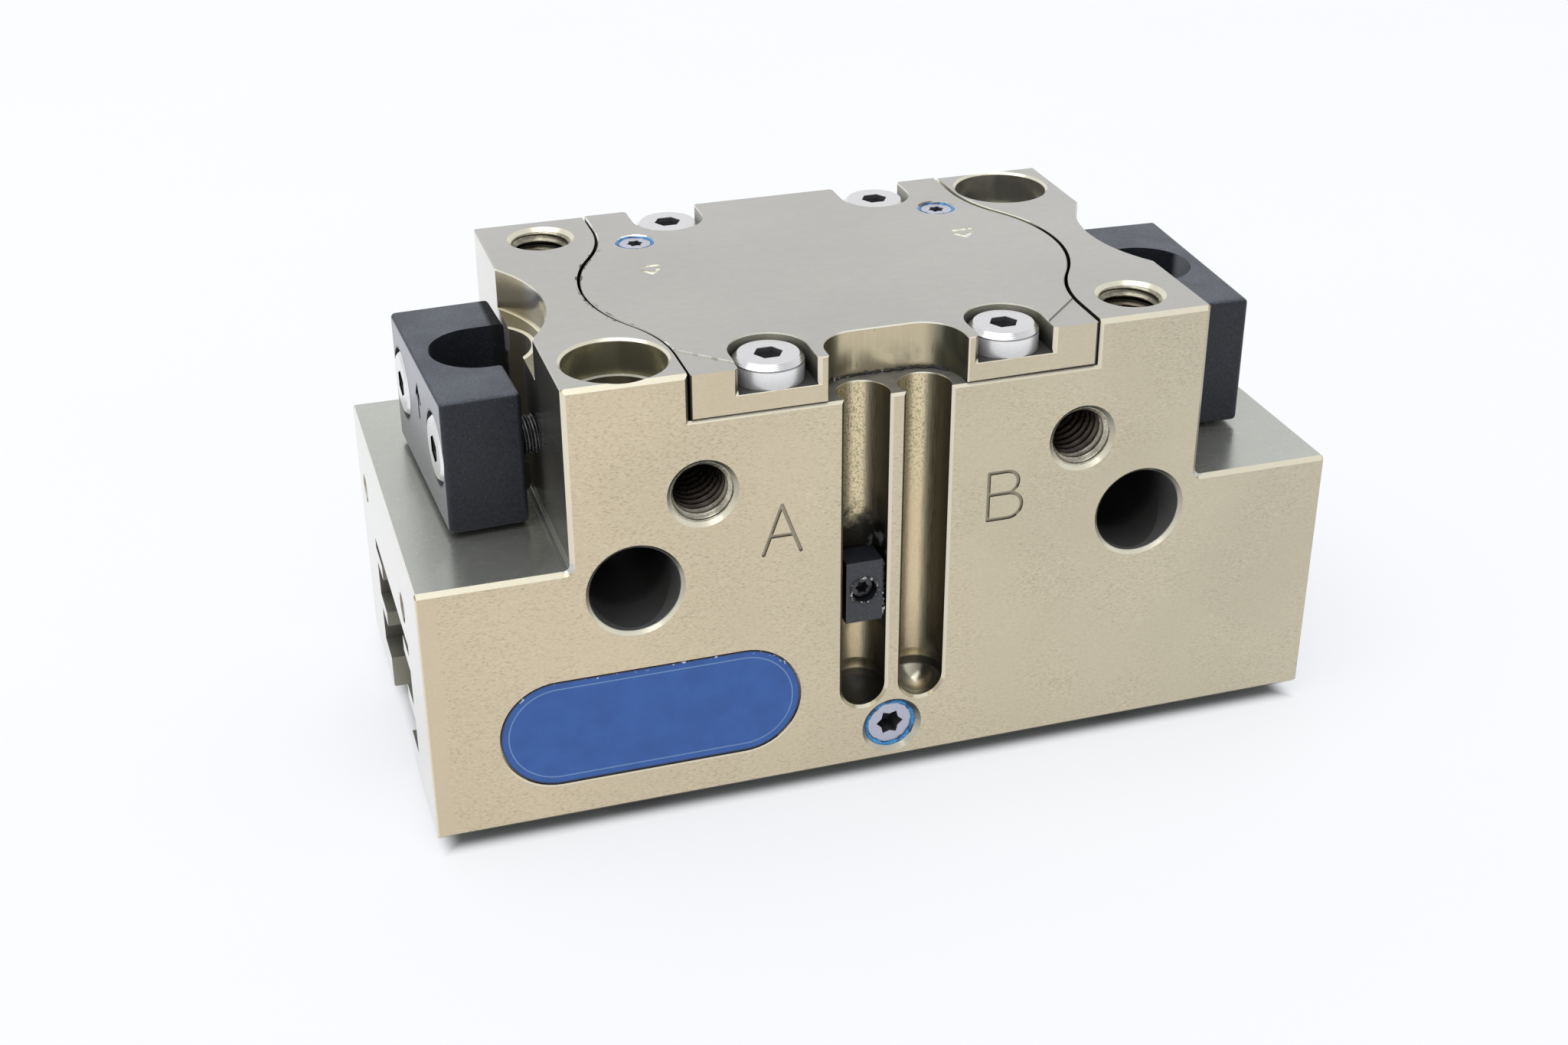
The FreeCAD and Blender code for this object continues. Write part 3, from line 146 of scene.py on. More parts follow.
    def shade(self, col, f):
        """Multiplies a colour by a factor socket."""
        n = self.t.nodes.new("ShaderNodeVectorMath")
        n.operation = "SCALE"
        self.put(n.inputs[0], col)
        self.put(n.inputs["Scale"], f)
        return n.outputs[0]

    def ramp(self, f, stops):
        n = self.t.nodes.new("ShaderNodeValToRGB")
        el = n.color_ramp.elements
        while len(el) < len(stops):
            el.new(0.5)
        for e, (p, c) in zip(el, stops):
            e.position = p
            e.color = (c[0], c[1], c[2], 1.0)
        self.put(n.inputs[0], f)
        return n.outputs[0]

    def bump(self, h, strength, dist_mm, prev=None):
        n = self.t.nodes.new("ShaderNodeBump")
        n.inputs["Strength"].default_value = strength
        n.inputs["Distance"].default_value = dist_mm * MM
        self.put(n.inputs["Height"], h)
        if prev is not None:
            self.t.links.new(prev, n.inputs["Normal"])
        return n.outputs[0]

    def set(self, **kw):
        names = {"color": "Base Color", "metal": "Metallic", "rough": "Roughness", "normal": "Normal",
                 "spec": "Specular IOR Level", "coat": "Coat Weight", "coat_rough": "Coat Roughness",
                 "aniso": "Anisotropic", "sheen": "Sheen Weight"}
        for k, v in kw.items():
            self.put(self.b.inputs[names[k]], v)
        return self.m


def anodised(name, cover=False):
    """Hard-anodised aluminium: champagne grain on the long walls, satin tops and ends, painted highlights and shade on
    the broken edges, bronze bores.
    """
    n = Net(name)
    top = n.step(n.nz, 0.93, 0.99)
    wall = n.step(n.ny, 0.93, 0.99)
    end = n.step(n.nx, 0.93, 0.99)
    flat = n.mx(n.mx(top, wall), end)
    notflat = n.inv(flat)
    up = n.step(n.nzs, 0.3, 0.6)
    grain = n.noise(4.6, 4.0, 0.62, (0.55, 1.0, 1.35))
    speck = n.noise(11.0, 2.0, 0.5, (0.7, 1, 1))
    pits = n.noise(7.2, 4.0, 0.62, (0.45, 1.0, 1.15))
    broad = n.noise(0.07, 3.0, 0.5)
    cloud = n.noise(0.16, 3.0, 0.5)
    # long walls: painted light falloff, warmer and brighter at the left and greyer towards the right end, with short
    # dark marks along X
    warm = n.step(n.x, -34.0, 36.0)
    wa = n.mix(warm, (0.612, 0.520, 0.366), (0.522, 0.473, 0.352))
    wb = n.mix(warm, (0.664, 0.566, 0.400), (0.568, 0.517, 0.388))
    wallcol = n.mix(n.step(grain, 0.3, 0.72), wa, wb)
    wallcol = n.mix(n.step(speck, 0.66, 0.82, 0.0, 0.6), wallcol, (0.72, 0.64, 0.48))
    dens = n.step(n.add(cloud, n.step(n.x, -30.0, 30.0, 0.10, -0.06)), 0.30, 0.62, 0.25, 1.0)
    dens = n.mul(dens, n.step(n.x, -36.3, -35.9)) if not cover else 0.15
    wallcol = n.mix(n.mul(n.step(pits, 0.52, 0.68), n.mul(dens, 0.56)), wallcol, (0.36, 0.30, 0.205))
    wallcol = n.mix(n.mul(n.step(pits, 0.46, 0.32), n.mul(dens, 0.42)), wallcol, (0.75, 0.68, 0.53))
    # tops: lapped satin with faint lines along X, mottling and a few bright specks
    lines = n.noise(1.0, 3.0, 0.6, (0.09, 11.0, 1.0))
    mottle = n.noise(1.6, 4.0, 0.6, (0.6, 1.0, 1.0))
    topcol = n.mix(n.step(n.add(n.mul(lines, 0.4), n.mul(mottle, 0.6)), 0.32, 0.68), (0.502, 0.492, 0.448), (0.537, 0.527, 0.481))
    dot = n.mul(n.step(n.cells(1.15), 0.055, 0.035), n.step(n.noise(0.5, 2.0), 0.50, 0.60))
    low = n.step(n.z, 30.0, 29.0)
    topcol = n.mix(n.mul(dot, n.mixf(low, 0.35, 0.75)), topcol, (0.86, 0.85, 0.80))
    # painted reflection: the ledge below z 30 is painted paler and greener than the tower top
    topcol = n.mix(n.mul(low, 0.8), topcol, n.mix(mottle, (0.540, 0.556, 0.500), (0.600, 0.616, 0.556)))
    topcol = n.mix(n.mul(low, n.step(n.noise(2.6, 3.0, 0.6), 0.60, 0.72, 0.0, 0.5)), topcol, (0.74, 0.75, 0.69))
    hair = n.step(n.noise(1.0, 2.0, 0.5, (0.8, 3.0, 1.0), 2.2), 0.70, 0.73)
    topcol = n.mix(n.mul(low, n.mul(hair, 0.35)), topcol, (0.82, 0.82, 0.76))
    # ends and tower flanks: smooth and paler
    mill = n.noise(1.0, 2.0, 0.5, (1.0, 0.12, 7.0))
    endcol = n.mix(n.step(mill, 0.3, 0.7), (0.690, 0.672, 0.615), (0.735, 0.718, 0.662))
    turn = n.noise(1.0, 2.0, 0.5, (2.5, 2.5, 8.0))
    borecol = n.mix(turn, (0.385, 0.335, 0.225), (0.50, 0.44, 0.305))
    col = n.mix(wall, n.mix(end, borecol, endcol), wallcol)
    col = n.mix(top, col, topcol)
    col = n.shade(col, n.step(broad, 0.3, 0.7, 0.965, 1.03))
    rough = n.mixf(wall, n.mixf(end, 0.23, 0.15), n.step(grain, 0.3, 0.7, 0.36, 0.46))
    rough = n.mixf(top, rough, n.step(mottle, 0.3, 0.7, 0.235, 0.275))
    # broken edges: painted highlight, creamy where they face up or left towards the light; painted shade, greyer where
    # they face right
    two = n.mx(n.mx(n.mul(n.ny, n.nz), n.mul(n.nx, n.nz)), n.mul(n.nx, n.ny))
    rim = n.step(two, 0.46, 0.492)
    upright = n.mix(n.step(n.nxs, -0.2, 0.2), (0.72, 0.665, 0.525), (0.30, 0.255, 0.175))
    cream = n.mix(speck, (0.68, 0.625, 0.475), (0.82, 0.77, 0.61))
    face = n.mx(n.step(n.ay, 17.22, 17.27), 0.0)
    edge = n.mul(rim, face)
    col = n.mix(edge, col, n.mix(up, upright, cream))
    # painted highlight: pale thin edges at the ends and along the top beyond |x| 30
    thin = n.mul(n.mul(notflat, n.inv(face)), n.mx(n.step(n.ax, 37.1, 37.15), n.mul(n.step(n.z, 36.42, 36.47), n.step(n.nzs, 0.4, 0.5))))
    col = n.mix(thin, col, n.mix(n.step(n.ax, 30.0, 30.1), topcol, (0.76, 0.745, 0.70)))
    bright = n.mx(n.mul(edge, n.mx(up, n.step(n.nxs, 0.0, -0.2))), n.mul(thin, n.step(n.ax, 30.0, 30.1)))
    rough = n.mixf(bright, rough, 0.27)
    if not cover:
        front = n.step(n.y, -17.4, -17.2)                      # 1 inside the front face
        # painted shade deepening into the side bores, air ports and top holes (deep, port, well, sleeve)
        d_side = n.add(n.hypot(n.sub(n.ax, 20.9), n.sub(n.z, 19.55)), n.step(n.y, 17.2, 17.3, 0.0, 9.0))
        deep = n.mul(n.step(d_side, 3.66, 3.70, 1.0, 0.0), n.step(n.y, -17.2, -12.0, 0.45, 1.0))
        col = n.mix(n.step(d_side, 3.66, 3.70, 0.9, 0.0), col, (0.43, 0.44, 0.43))
        d_port = n.add(n.hypot(n.sub(n.ax, 15.45), n.sub(n.z, 26.95)), n.step(n.y, 0.0, 1.0, 0.0, 9.0))
        port = n.mul(n.step(d_port, 2.54, 2.58, 1.0, 0.0), n.step(n.y, -17.4, -16.6))
        d_top = n.hypot(n.sub(n.ax, 20.85), n.sub(n.ay, 13.3))
        well = n.mul(n.step(d_top, 3.58, 3.62, 1.0, 0.0), n.step(n.z, 33.9, 32.7))
        sleeve = n.mul(n.step(d_top, 4.02, 4.06, 1.0, 0.0), n.mul(n.step(n.z, 36.56, 36.50), n.step(n.z, 36.6, 33.6, 0.12, 0.50)))
        step_ring = n.mul(n.mul(n.band(d_top, 3.58, 4.02), top), n.band(n.z, 33.5, 34.2))
        sleeve = n.mul(n.mul(sleeve, n.inv(step_ring)), n.step(n.x, -0.1, 0.1, 1.0, 0.45))
        olive = n.mix(n.step(n.noise(0.35, 3.0, 0.5), 0.40, 0.62), (0.34, 0.325, 0.215), (0.52, 0.48, 0.29))
        olive = n.mix(n.step(n.x, -0.1, 0.1), olive, n.mix(n.step(n.noise(0.35, 3.0, 0.5), 0.40, 0.62), (0.34, 0.33, 0.28), (0.45, 0.435, 0.36)))
        col = n.mix(n.mul(n.step(d_top, 4.06, 4.02), n.band(n.z, 30.0, 36.50)), col, olive)
        # painted highlight on the step ring deep in the top holes
        col = n.mix(step_ring, col, (0.94, 0.92, 0.82))
        bright = n.mx(bright, step_ring)
        # mouths of the round holes: turned chamfers with a painted highlight where they face up and painted shade where
        # they face down
        mouth = n.mx(n.mul(n.band(d_side, 3.63, 3.97), n.inv(front)), n.mul(n.band(d_port, 2.51, 2.90), n.inv(n.step(n.y, -17.27, -17.25))))
        d_pur = n.hypot(n.x, n.sub(n.z, 3.15))
        pmouth = n.mul(n.mul(n.band(d_pur, 2.07, 2.60), n.inv(n.step(n.y, -17.15, -17.05))), notflat)
        mouth = n.mx(mouth, n.mul(n.band(d_top, 4.02, 4.28), n.step(n.z, 36.5, 36.58)))
        mouth = n.mx(mouth, n.mul(n.band(d_top, 2.51, 2.90), n.step(n.z, 36.46, 36.50)))
        mouth = n.mul(mouth, notflat)
        lit = n.mix(n.step(n.nzs, -0.55, 0.05), (0.19, 0.19, 0.155), (0.46, 0.43, 0.335))
        lit = n.mix(n.step(n.nzs, 0.05, 0.60), lit, n.mix(turn, (0.68, 0.64, 0.49), (0.80, 0.765, 0.62)))
        col = n.mix(mouth, col, lit)
        rough = n.mixf(mouth, rough, 0.24)
        bright = n.mx(bright, n.mul(mouth, n.step(n.nzs, -0.2, 0.3)))
        col = n.mix(pmouth, col, n.mix(n.step(n.nzs, -0.4, 0.5), (0.11, 0.11, 0.10), (0.52, 0.49, 0.40)))
        # foot of the tower and sensor scallop: satin floor with painted highlight arcs at its edges
        foot = n.mul(n.mul(n.band(n.ax, 25.5, 26.45), n.band(n.z, 21.9, 22.62)), notflat)
        col = n.mix(foot, col, topcol)
        d_scal = n.hypot(n.sub(n.ax, 36.6), n.y)
        d_well = n.hypot(n.sub(n.ax, 28.78), n.y)
        shelf = n.mul(top, n.band(n.z, 33.3, 33.5))
        col = n.mix(shelf, col, n.mix(turn, (0.26, 0.245, 0.165), (0.34, 0.32, 0.225)))
        arc = n.mul(shelf, n.mx(n.step(d_scal, 12.98, 13.02), n.step(d_well, 4.60, 4.54)))
        lip = n.mul(n.mul(n.band(d_scal, 13.12, 13.28), n.inv(top)), n.step(n.z, 36.60, 36.66))
        arc = n.mx(arc, n.mul(lip, n.step(n.z, 33.0, 33.2)))
        col = n.mix(arc, col, (0.90, 0.86, 0.70))
        bright = n.mx(bright, arc)
        # painted shade on the front of the left tower flank beside the bracket, stronger towards the top
        flank = n.mul(n.mul(end, n.band(n.ax, 25.7, 25.9)), n.mul(n.step(n.z, 22.4, 22.8), n.mul(n.step(n.y, 6.0, -6.0), n.step(n.x, 0.1, -0.1))))
        # painted highlight on the lower rim of the label pocket
        lr = n.hypot(n.mx(n.sub(n.math("ABSOLUTE", n.add(n.x, 19.95)), 7.45), 0.0), n.sub(n.z, 7.95))
        labrim = n.mul(n.mul(n.band(lr, 4.70, 4.86, 0.04), n.step(n.z, 6.4, 4.2)), n.mul(wall, n.step(n.y, -17.3, -17.4)))
        col = n.mix(n.mul(labrim, 0.85), col, cream)
        # switch slots: sand-like bright band; painted shade, dark and smooth, where the wall turns to the left, and on
        # the wall that faces right
        dx = n.sub(n.ax, 2.48)
        d_slot = n.hypot(dx, n.add(n.y, 16.38))
        d_ball = n.hypot(n.hypot(dx, n.add(n.y, 16.28)), n.sub(n.z, 7.4))
        slot = n.mul(n.step(d_slot, 2.13, 2.15, 1.0, 0.0), n.band(n.z, 7.45, 32.98))
        slot = n.mx(slot, n.mul(n.step(d_ball, 2.18, 2.21, 1.0, 0.0), n.step(n.z, 8.6, 8.5)))
        slot = n.mul(slot, n.step(n.y, -17.40, -17.36))
        streak = n.noise(1.0, 4.0, 0.6, (13.0, 13.0, 0.45))
        fine = n.noise(8.0, 3.0, 0.6, (1.0, 1.0, 0.5))
        sand = n.noise(8.0, 3.0, 0.62, (1.0, 1.0, 0.7))
        slotcol = n.mix(n.step(n.add(n.mul(streak, 0.5), n.mul(fine, 0.5)), 0.36, 0.64), (0.75, 0.61, 0.38), (0.88, 0.72, 0.46))
        rough_top = n.mixf(n.step(n.x, -0.1, 0.1), n.step(n.z, 15.0, 20.0), n.step(n.z, 19.0, 28.0))
        slotcol = n.mix(n.mul(rough_top, 0.7), slotcol, (0.90, 0.78, 0.49))
        slotcol = n.mix(n.mul(n.step(sand, 0.50, 0.61), n.mul(rough_top, 0.66)), slotcol, (0.22, 0.185, 0.115))
        slotcol = n.mix(n.mul(n.step(sand, 0.42, 0.34), n.mul(rough_top, 0.45)), slotcol, (0.94, 0.85, 0.60))
        turnaway = n.add(n.nxs, n.mul(n.sub(streak, 0.5), 0.22))
        slotcol = n.mix(n.step(turnaway, -0.28, -0.56), slotcol, n.mix(n.step(streak, 0.3, 0.7), (0.250, 0.222, 0.150), (0.330, 0.293, 0.200)))
        slotcol = n.mix(n.step(turnaway, -0.60, -0.92), slotcol, (0.110, 0.100, 0.072))
        slotcol = n.mix(n.step(n.nxs, 0.66, 0.90), slotcol, (0.17, 0.16, 0.115))
        # painted shade: the slot darkens towards its lower end
        slotcol = n.shade(slotcol, n.step(n.z, 8.3, 14.0, 0.66, 0.88))
        turn_up = n.sub(n.nzs, n.step(n.x, 0.1, -0.1, 0.0, 0.12))
        # painted highlight on the up-facing ball end, turning to painted shade where it faces -x
        slotcol = n.mix(n.mul(n.step(turn_up, 0.26, 0.34), 0.85), slotcol, n.mix(n.step(n.nxs, 0.1, -0.6), (0.66, 0.64, 0.52), (0.14, 0.13, 0.10)))
        # painted highlight on the slot's top lip
        slip = n.mul(slot, n.step(n.z, 32.86, 32.90))
        slotcol = n.mix(slip, slotcol, (0.92, 0.89, 0.78))
        col = n.mix(slot, col, slotcol)
        rough = n.mixf(slot, rough, n.step(streak, 0.3, 0.7, 0.26, 0.36))
        rough = n.mixf(n.mul(slot, n.step(turn_up, 0.26, 0.34)), rough, 0.18)
        ragged = n.add(n.z, n.mul(n.sub(n.noise(0.9, 4.0, 0.6), 0.5), 4.5))
        grime = n.mul(slot, n.mul(n.step(n.x, 0.0, -0.2), n.band(ragged, 13.7, 20.3, 2.6)))
        smear = n.mul(n.mul(slot, n.step(n.x, -1.7, -1.1)), n.mul(n.step(n.noise(1.4, 3.0, 0.65, (1, 1, 0.6)), 0.48, 0.68), n.band(n.z, 18.8, 20.0, 0.5)))
        smear = n.mul(smear, n.step(n.x, 0.0, -0.2))
        grime = n.mul(grime, n.inv(n.mul(smear, 0.35)))
        col = n.mix(smear, col, (0.50, 0.52, 0.54))
        # the up-facing ball end of the left slot is darkened, the right one only slightly
        ball_darkening = n.mul(slot, n.mul(n.step(turn_up, 0.14, 0.30), n.step(n.x, 0.1, -0.1, 0.05, 1.0)))
        # painted shade: a dark arc where the slot wall turns into the ball end
        ball_shade_arc = n.mul(n.mul(slot, n.band(turn_up, 0.06, 0.30, 0.10)), n.step(n.z, 7.5, 7.4))
        # engraved port marks: pale floor, dark walls
        letters = n.mul(n.band(n.ax, 6.9, 11.6), n.band(n.z, 20.4, 25.6))
        mark = n.mul(n.mul(letters, n.band(n.y, -17.57, -17.30)), n.mixf(wall, 0.90, 0.44))
        dark = n.mx(n.mx(n.mul(deep, 0.93), n.mul(port, 0.90)), n.mx(n.mul(well, 0.80), n.mul(grime, 0.965)))
        dark = n.mx(dark, n.mx(n.mx(n.mul(ball_darkening, 0.915), n.mul(ball_shade_arc, 0.86)), mark))
        dark = n.mx(dark, n.mx(sleeve, n.mul(flank, n.step(n.z, 23.0, 31.0, 0.66, 0.88))))
        # joint round the cover: black, with grey filler left in part of the left side; at the right rear it carries a
        # pale painted highlight
        filler = n.mul(n.mul(n.step(n.x, -15.0, -16.0), n.band(n.y, -6.5, 1.5, 1.0)), n.step(n.noise(0.9, 3.0, 0.6), 0.46, 0.56))
        joint = n.mul(n.mul(n.band(n.ax, 15.9, 20.6, 0.05), n.step(n.z, 33.02, 33.08)), n.mul(n.step(n.nz, 0.5, 0.3), n.step(n.ay, 17.3, 17.2)))
        joint = n.mul(joint, n.step(d_top, 4.3, 4.4))
        pale = n.mul(n.step(n.x, 2.0, 4.0), n.step(n.y, 2.5, 5.0))
        col = n.mix(n.mul(joint, pale), col, (0.92, 0.89, 0.72))
        dark = n.mx(dark, n.mul(joint, n.mixf(pale, n.mixf(filler, 0.97, 0.40), 0.08)))
        d_wave = n.sub(n.hypot(n.sub(n.ax, 6.25), n.y), 13.85)
        d_back = n.hypot(n.sub(n.ax, 28.15), n.sub(n.y, 13.73))
        # painted highlight: a pale line on the top beside the wavy joint and along the rear arc
        gap_edge_highlight = n.mx(n.mul(n.band(d_wave, 0.22, 0.42, 0.03), n.band(n.y, 4.4, 7.3, 0.4)), n.mul(n.band(d_back, 11.56, 11.78, 0.03), n.mul(n.step(n.y, 7.25, 7.3), n.step(n.y, 12.0, 10.5))))
        gap_edge_highlight = n.mul(n.mul(gap_edge_highlight, n.mul(top, n.step(n.z, 36.7, 36.75))), n.step(n.x, 0.0, 1.0))
        col = n.mix(n.mul(gap_edge_highlight, 0.85), col, (0.90, 0.88, 0.68))
        bright = n.mx(bright, n.mul(gap_edge_highlight, 0.85))
        by_gap = n.mul(n.mul(top, n.step(n.z, 36.7, 36.75)), n.mul(n.step(n.x, -15.0, -16.0), n.band(n.y, -7.0, 8.5, 1.0)))
        stain = n.mul(n.mul(by_gap, n.band(d_wave, 0.2, 0.36, 0.10)), n.step(n.noise(1.3, 3.0, 0.65), 0.52, 0.60))
        dark = n.mx(dark, n.mul(stain, 0.85))
        # cover seat: painted shade, black under the cover's edge; darker and dull in the front bay
        seat = n.mul(top, n.band(n.z, 32.9, 33.1))
        under = n.mul(seat, n.mul(n.step(n.ax, 5.5, 5.6), n.step(n.ay, 15.6, 15.8)))
        dark = n.mx(dark, n.mx(n.mul(under, 0.97), n.mul(n.mul(seat, n.step(n.ax, 5.6, 5.5)), n.step(mottle, 0.3, 0.7, 0.56, 0.70))))
        # jaw guide painted grey, with painted shade deepening into its grooves; painted shade at the foot of the sensor
        # wells
        guide = n.mul(n.mul(n.step(n.ay, 9.6, 9.4), n.step(n.z, 15.6, 15.4)), n.inv(end))
        col = n.mix(n.mul(guide, 0.85), col, (0.40, 0.395, 0.33))
        dark = n.mx(dark, n.mul(guide, n.step(n.ay, 6.2, 8.6, 0.22, 0.62)))
        dark = n.mx(dark, n.mul(n.mul(n.step(d_well, 4.30, 4.24), n.step(n.z, 21.95, 21.7)), 0.72))
    else:
        mark = n.mul(n.band(n.z, 36.55, 36.77), n.mul(n.band(n.ax, 12.2, 15.0), n.band(n.y, 2.2, 4.8)))
        col = n.mix(mark, col, n.mix(n.step(n.noise(1.9, 2.0), 0.42, 0.58), (0.66, 0.65, 0.56), (1.0, 0.99, 0.88)))
        bright = n.mx(bright, mark)
        # corner relief steps: painted highlight on the left corners, painted shade on the right
        relief = n.mul(n.mul(notflat, n.step(n.z, 36.5, 36.55)), n.mul(n.step(n.ax, 12.0, 12.2), n.mul(n.step(n.ay, 11.0, 11.2), n.step(n.ay, 17.2, 17.1))))
        col = n.mix(relief, col, n.mix(n.step(n.x, -0.1, 0.1), n.mix(n.step(n.noise(1.6, 2.0), 0.45, 0.6), (0.95, 0.94, 0.88), (0.55, 0.54, 0.48)), (0.22, 0.215, 0.19)))
        bright = n.mx(bright, n.mul(relief, n.step(n.x, 0.1, -0.1)))
        # joint faces, screw notches
        dark = n.mul(n.mul(n.step(n.ax, 15.95, 16.05), n.step(n.nz, 0.35, 0.2)), n.mul(n.step(n.ay, 17.4, 17.3), n.step(n.z, 36.68, 36.64)))
        filler = n.mul(n.mul(n.step(n.x, -15.0, -16.0), n.band(n.y, -6.5, 1.5, 1.0)), n.step(n.noise(0.9, 3.0, 0.6), 0.46, 0.56))
        # the joint is left lighter at the right rear, a pale painted highlight
        pale = n.mul(n.step(n.x, 2.0, 4.0), n.step(n.y, 2.5, 5.0))
        dark = n.mul(dark, n.mixf(pale, n.mixf(filler, 0.97, 0.40), 0.25))
        # painted shade on the cover's down-facing faces
        dark = n.mx(dark, n.mul(n.step(n.nzs, -0.4, -0.6), 0.96))
        d_wave = n.sub(n.hypot(n.sub(n.ax, 6.25), n.y), 13.85)
        by_gap = n.mul(n.mul(top, n.step(n.z, 36.6, 36.65)), n.mul(n.step(n.x, -15.0, -16.0), n.band(n.y, -7.0, 8.5, 1.0)))
        stain = n.mul(n.mul(by_gap, n.band(d_wave, -0.14, 0.05, 0.12)), n.step(n.noise(1.1, 3.0, 0.65), 0.50, 0.58))
        dark = n.mx(dark, n.mul(stain, 0.85))
        # painted shade line along the lower and end edges of the front skirt, at the joint
        low_edge = n.step(n.sub(n.z, n.step(n.x, 4.0, 16.0, 0.035, 0.11)), 33.15, 33.11)
        end_edge = n.step(n.add(n.ax, n.step(n.x, -0.1, 0.1, 0.06, 0.10)), 16.12, 16.16)
        dark = n.mx(dark, n.mul(n.mul(n.mx(low_edge, end_edge), wall), 0.92))
        inside = n.mul(n.step(n.ay, 17.50, 17.44), n.inv(edge))
        # painted shade in the screw notches: dark floor, walls darker with depth
        d_cs = n.hypot(n.sub(n.ax, 9.45), n.mx(n.sub(14.8, n.ay), 0.0))
        hollow = n.mul(n.mul(n.step(d_cs, 3.16, 3.12), n.step(n.ay, 11.6, 11.7)), n.mul(inside, n.mx(n.step(n.nz, 0.3, 0.2), n.step(n.z, 35.0, 34.9))))
        floor_ = n.mul(n.mul(hollow, n.band(n.z, 34.5, 34.7, 0.03)), top)
        col = n.mix(hollow, col, n.mix(top, (0.36, 0.35, 0.28), col))
        dark = n.mx(dark, n.mul(floor_, 0.86))
        dark = n.mx(dark, n.mul(n.mul(hollow, n.inv(top)), n.step(n.z, 36.7, 35.2, 0.30, 0.88)))
        # milled wall of the front bay: bright in the middle, painted shade, dark olive, where it turns to the sides,
        # and darker patches towards its foot
        bay = n.mul(n.mul(n.step(n.ax, 5.68, 5.64), n.step(n.y, -13.2, -13.3)), n.mul(n.inv(top), inside))
        mills = n.noise(1.0, 3.0, 0.6, (9.0, 9.0, 0.25))
        foot_patch = n.step(n.noise(0.42, 3.0, 0.5), 0.50, 0.68, 0.0, 0.45)
        baycol = n.mix(n.step(mills, 0.3, 0.7), (0.520, 0.450, 0.300), (0.560, 0.487, 0.330))
        baycol = n.mix(n.mul(foot_patch, n.step(n.z, 36.0, 34.0)), baycol, (0.17, 0.16, 0.115))
        baycol = n.mix(n.step(n.nx, 0.22, 0.80), baycol, (0.130, 0.130, 0.096))
        scratch = n.step(n.noise(1.0, 1.0, 0.3, (3.2, 3.2, 0.5), 0.8), 0.74, 0.77)
        baycol = n.mix(n.mul(scratch, 0.5), baycol, (0.13, 0.12, 0.09))
        col = n.mix(bay, col, baycol)
        rough = n.mixf(bay, rough, n.step(mills, 0.3, 0.7, 0.24, 0.27))
        # painted highlight on the top rim of the bay and notch walls
        lip = n.mul(n.mul(n.mx(bay, n.mul(hollow, n.inv(top))), n.step(n.z, 36.66, 36.70)), n.step(n.nzs, 0.3, 0.2))
        col = n.mix(lip, col, (0.92, 0.89, 0.76))
        bright = n.mx(bright, lip)
        dark = n.mul(dark, n.inv(lip))
    dark = n.mul(dark, n.inv(n.mul(bright, 0.9)))
    col = n.shade(col, n.inv(dark))
    rough = n.mixf(n.mul(dark, n.inv(flank)) if not cover else dark, rough, 0.5)
    h = n.add(n.mul(n.mul(wall, grain), 0.7 if not cover else 0.15), n.mul(n.mul(top, lines), 0.05))
    h = n.add(h, n.mul(n.mul(wall, pits), n.mul(dens, -0.9)))
    h = n.add(h, n.mul(n.mul(notflat, turn), 0.25 if not cover else 0.08))
    h = n.add(h, n.mul(n.mul(end, mill), 0.12))
    if not cover:
        h = n.add(n.mul(h, n.inv(slot)), n.mul(slot, n.add(n.mul(streak, 0.25), n.mul(n.mul(sand, rough_top), 0.8))))
    nrm = n.bump(h, 0.5, 0.018)
    nrm = n.bump(n.mul(speck, n.mixf(wall, 0.03, 0.7 if not cover else 0.15)), 0.25, 0.006, nrm)
    # fine scratches on tops and ledges
    scr = n.noise(1.0, 1.0, 0.3, (0.5, 6.0, 1.0), 1.2)
    scr = n.mul(top, n.step(scr, 0.735, 0.76))
    nrm = n.bump(scr, 0.35, -0.01, nrm)
    metal = n.mixf(n.mul(bright, 0.9), n.mixf(dark, 0.84, 0.35), 0.40)
    return n.set(color=col, metal=metal, rough=rough, normal=nrm, spec=0.4)


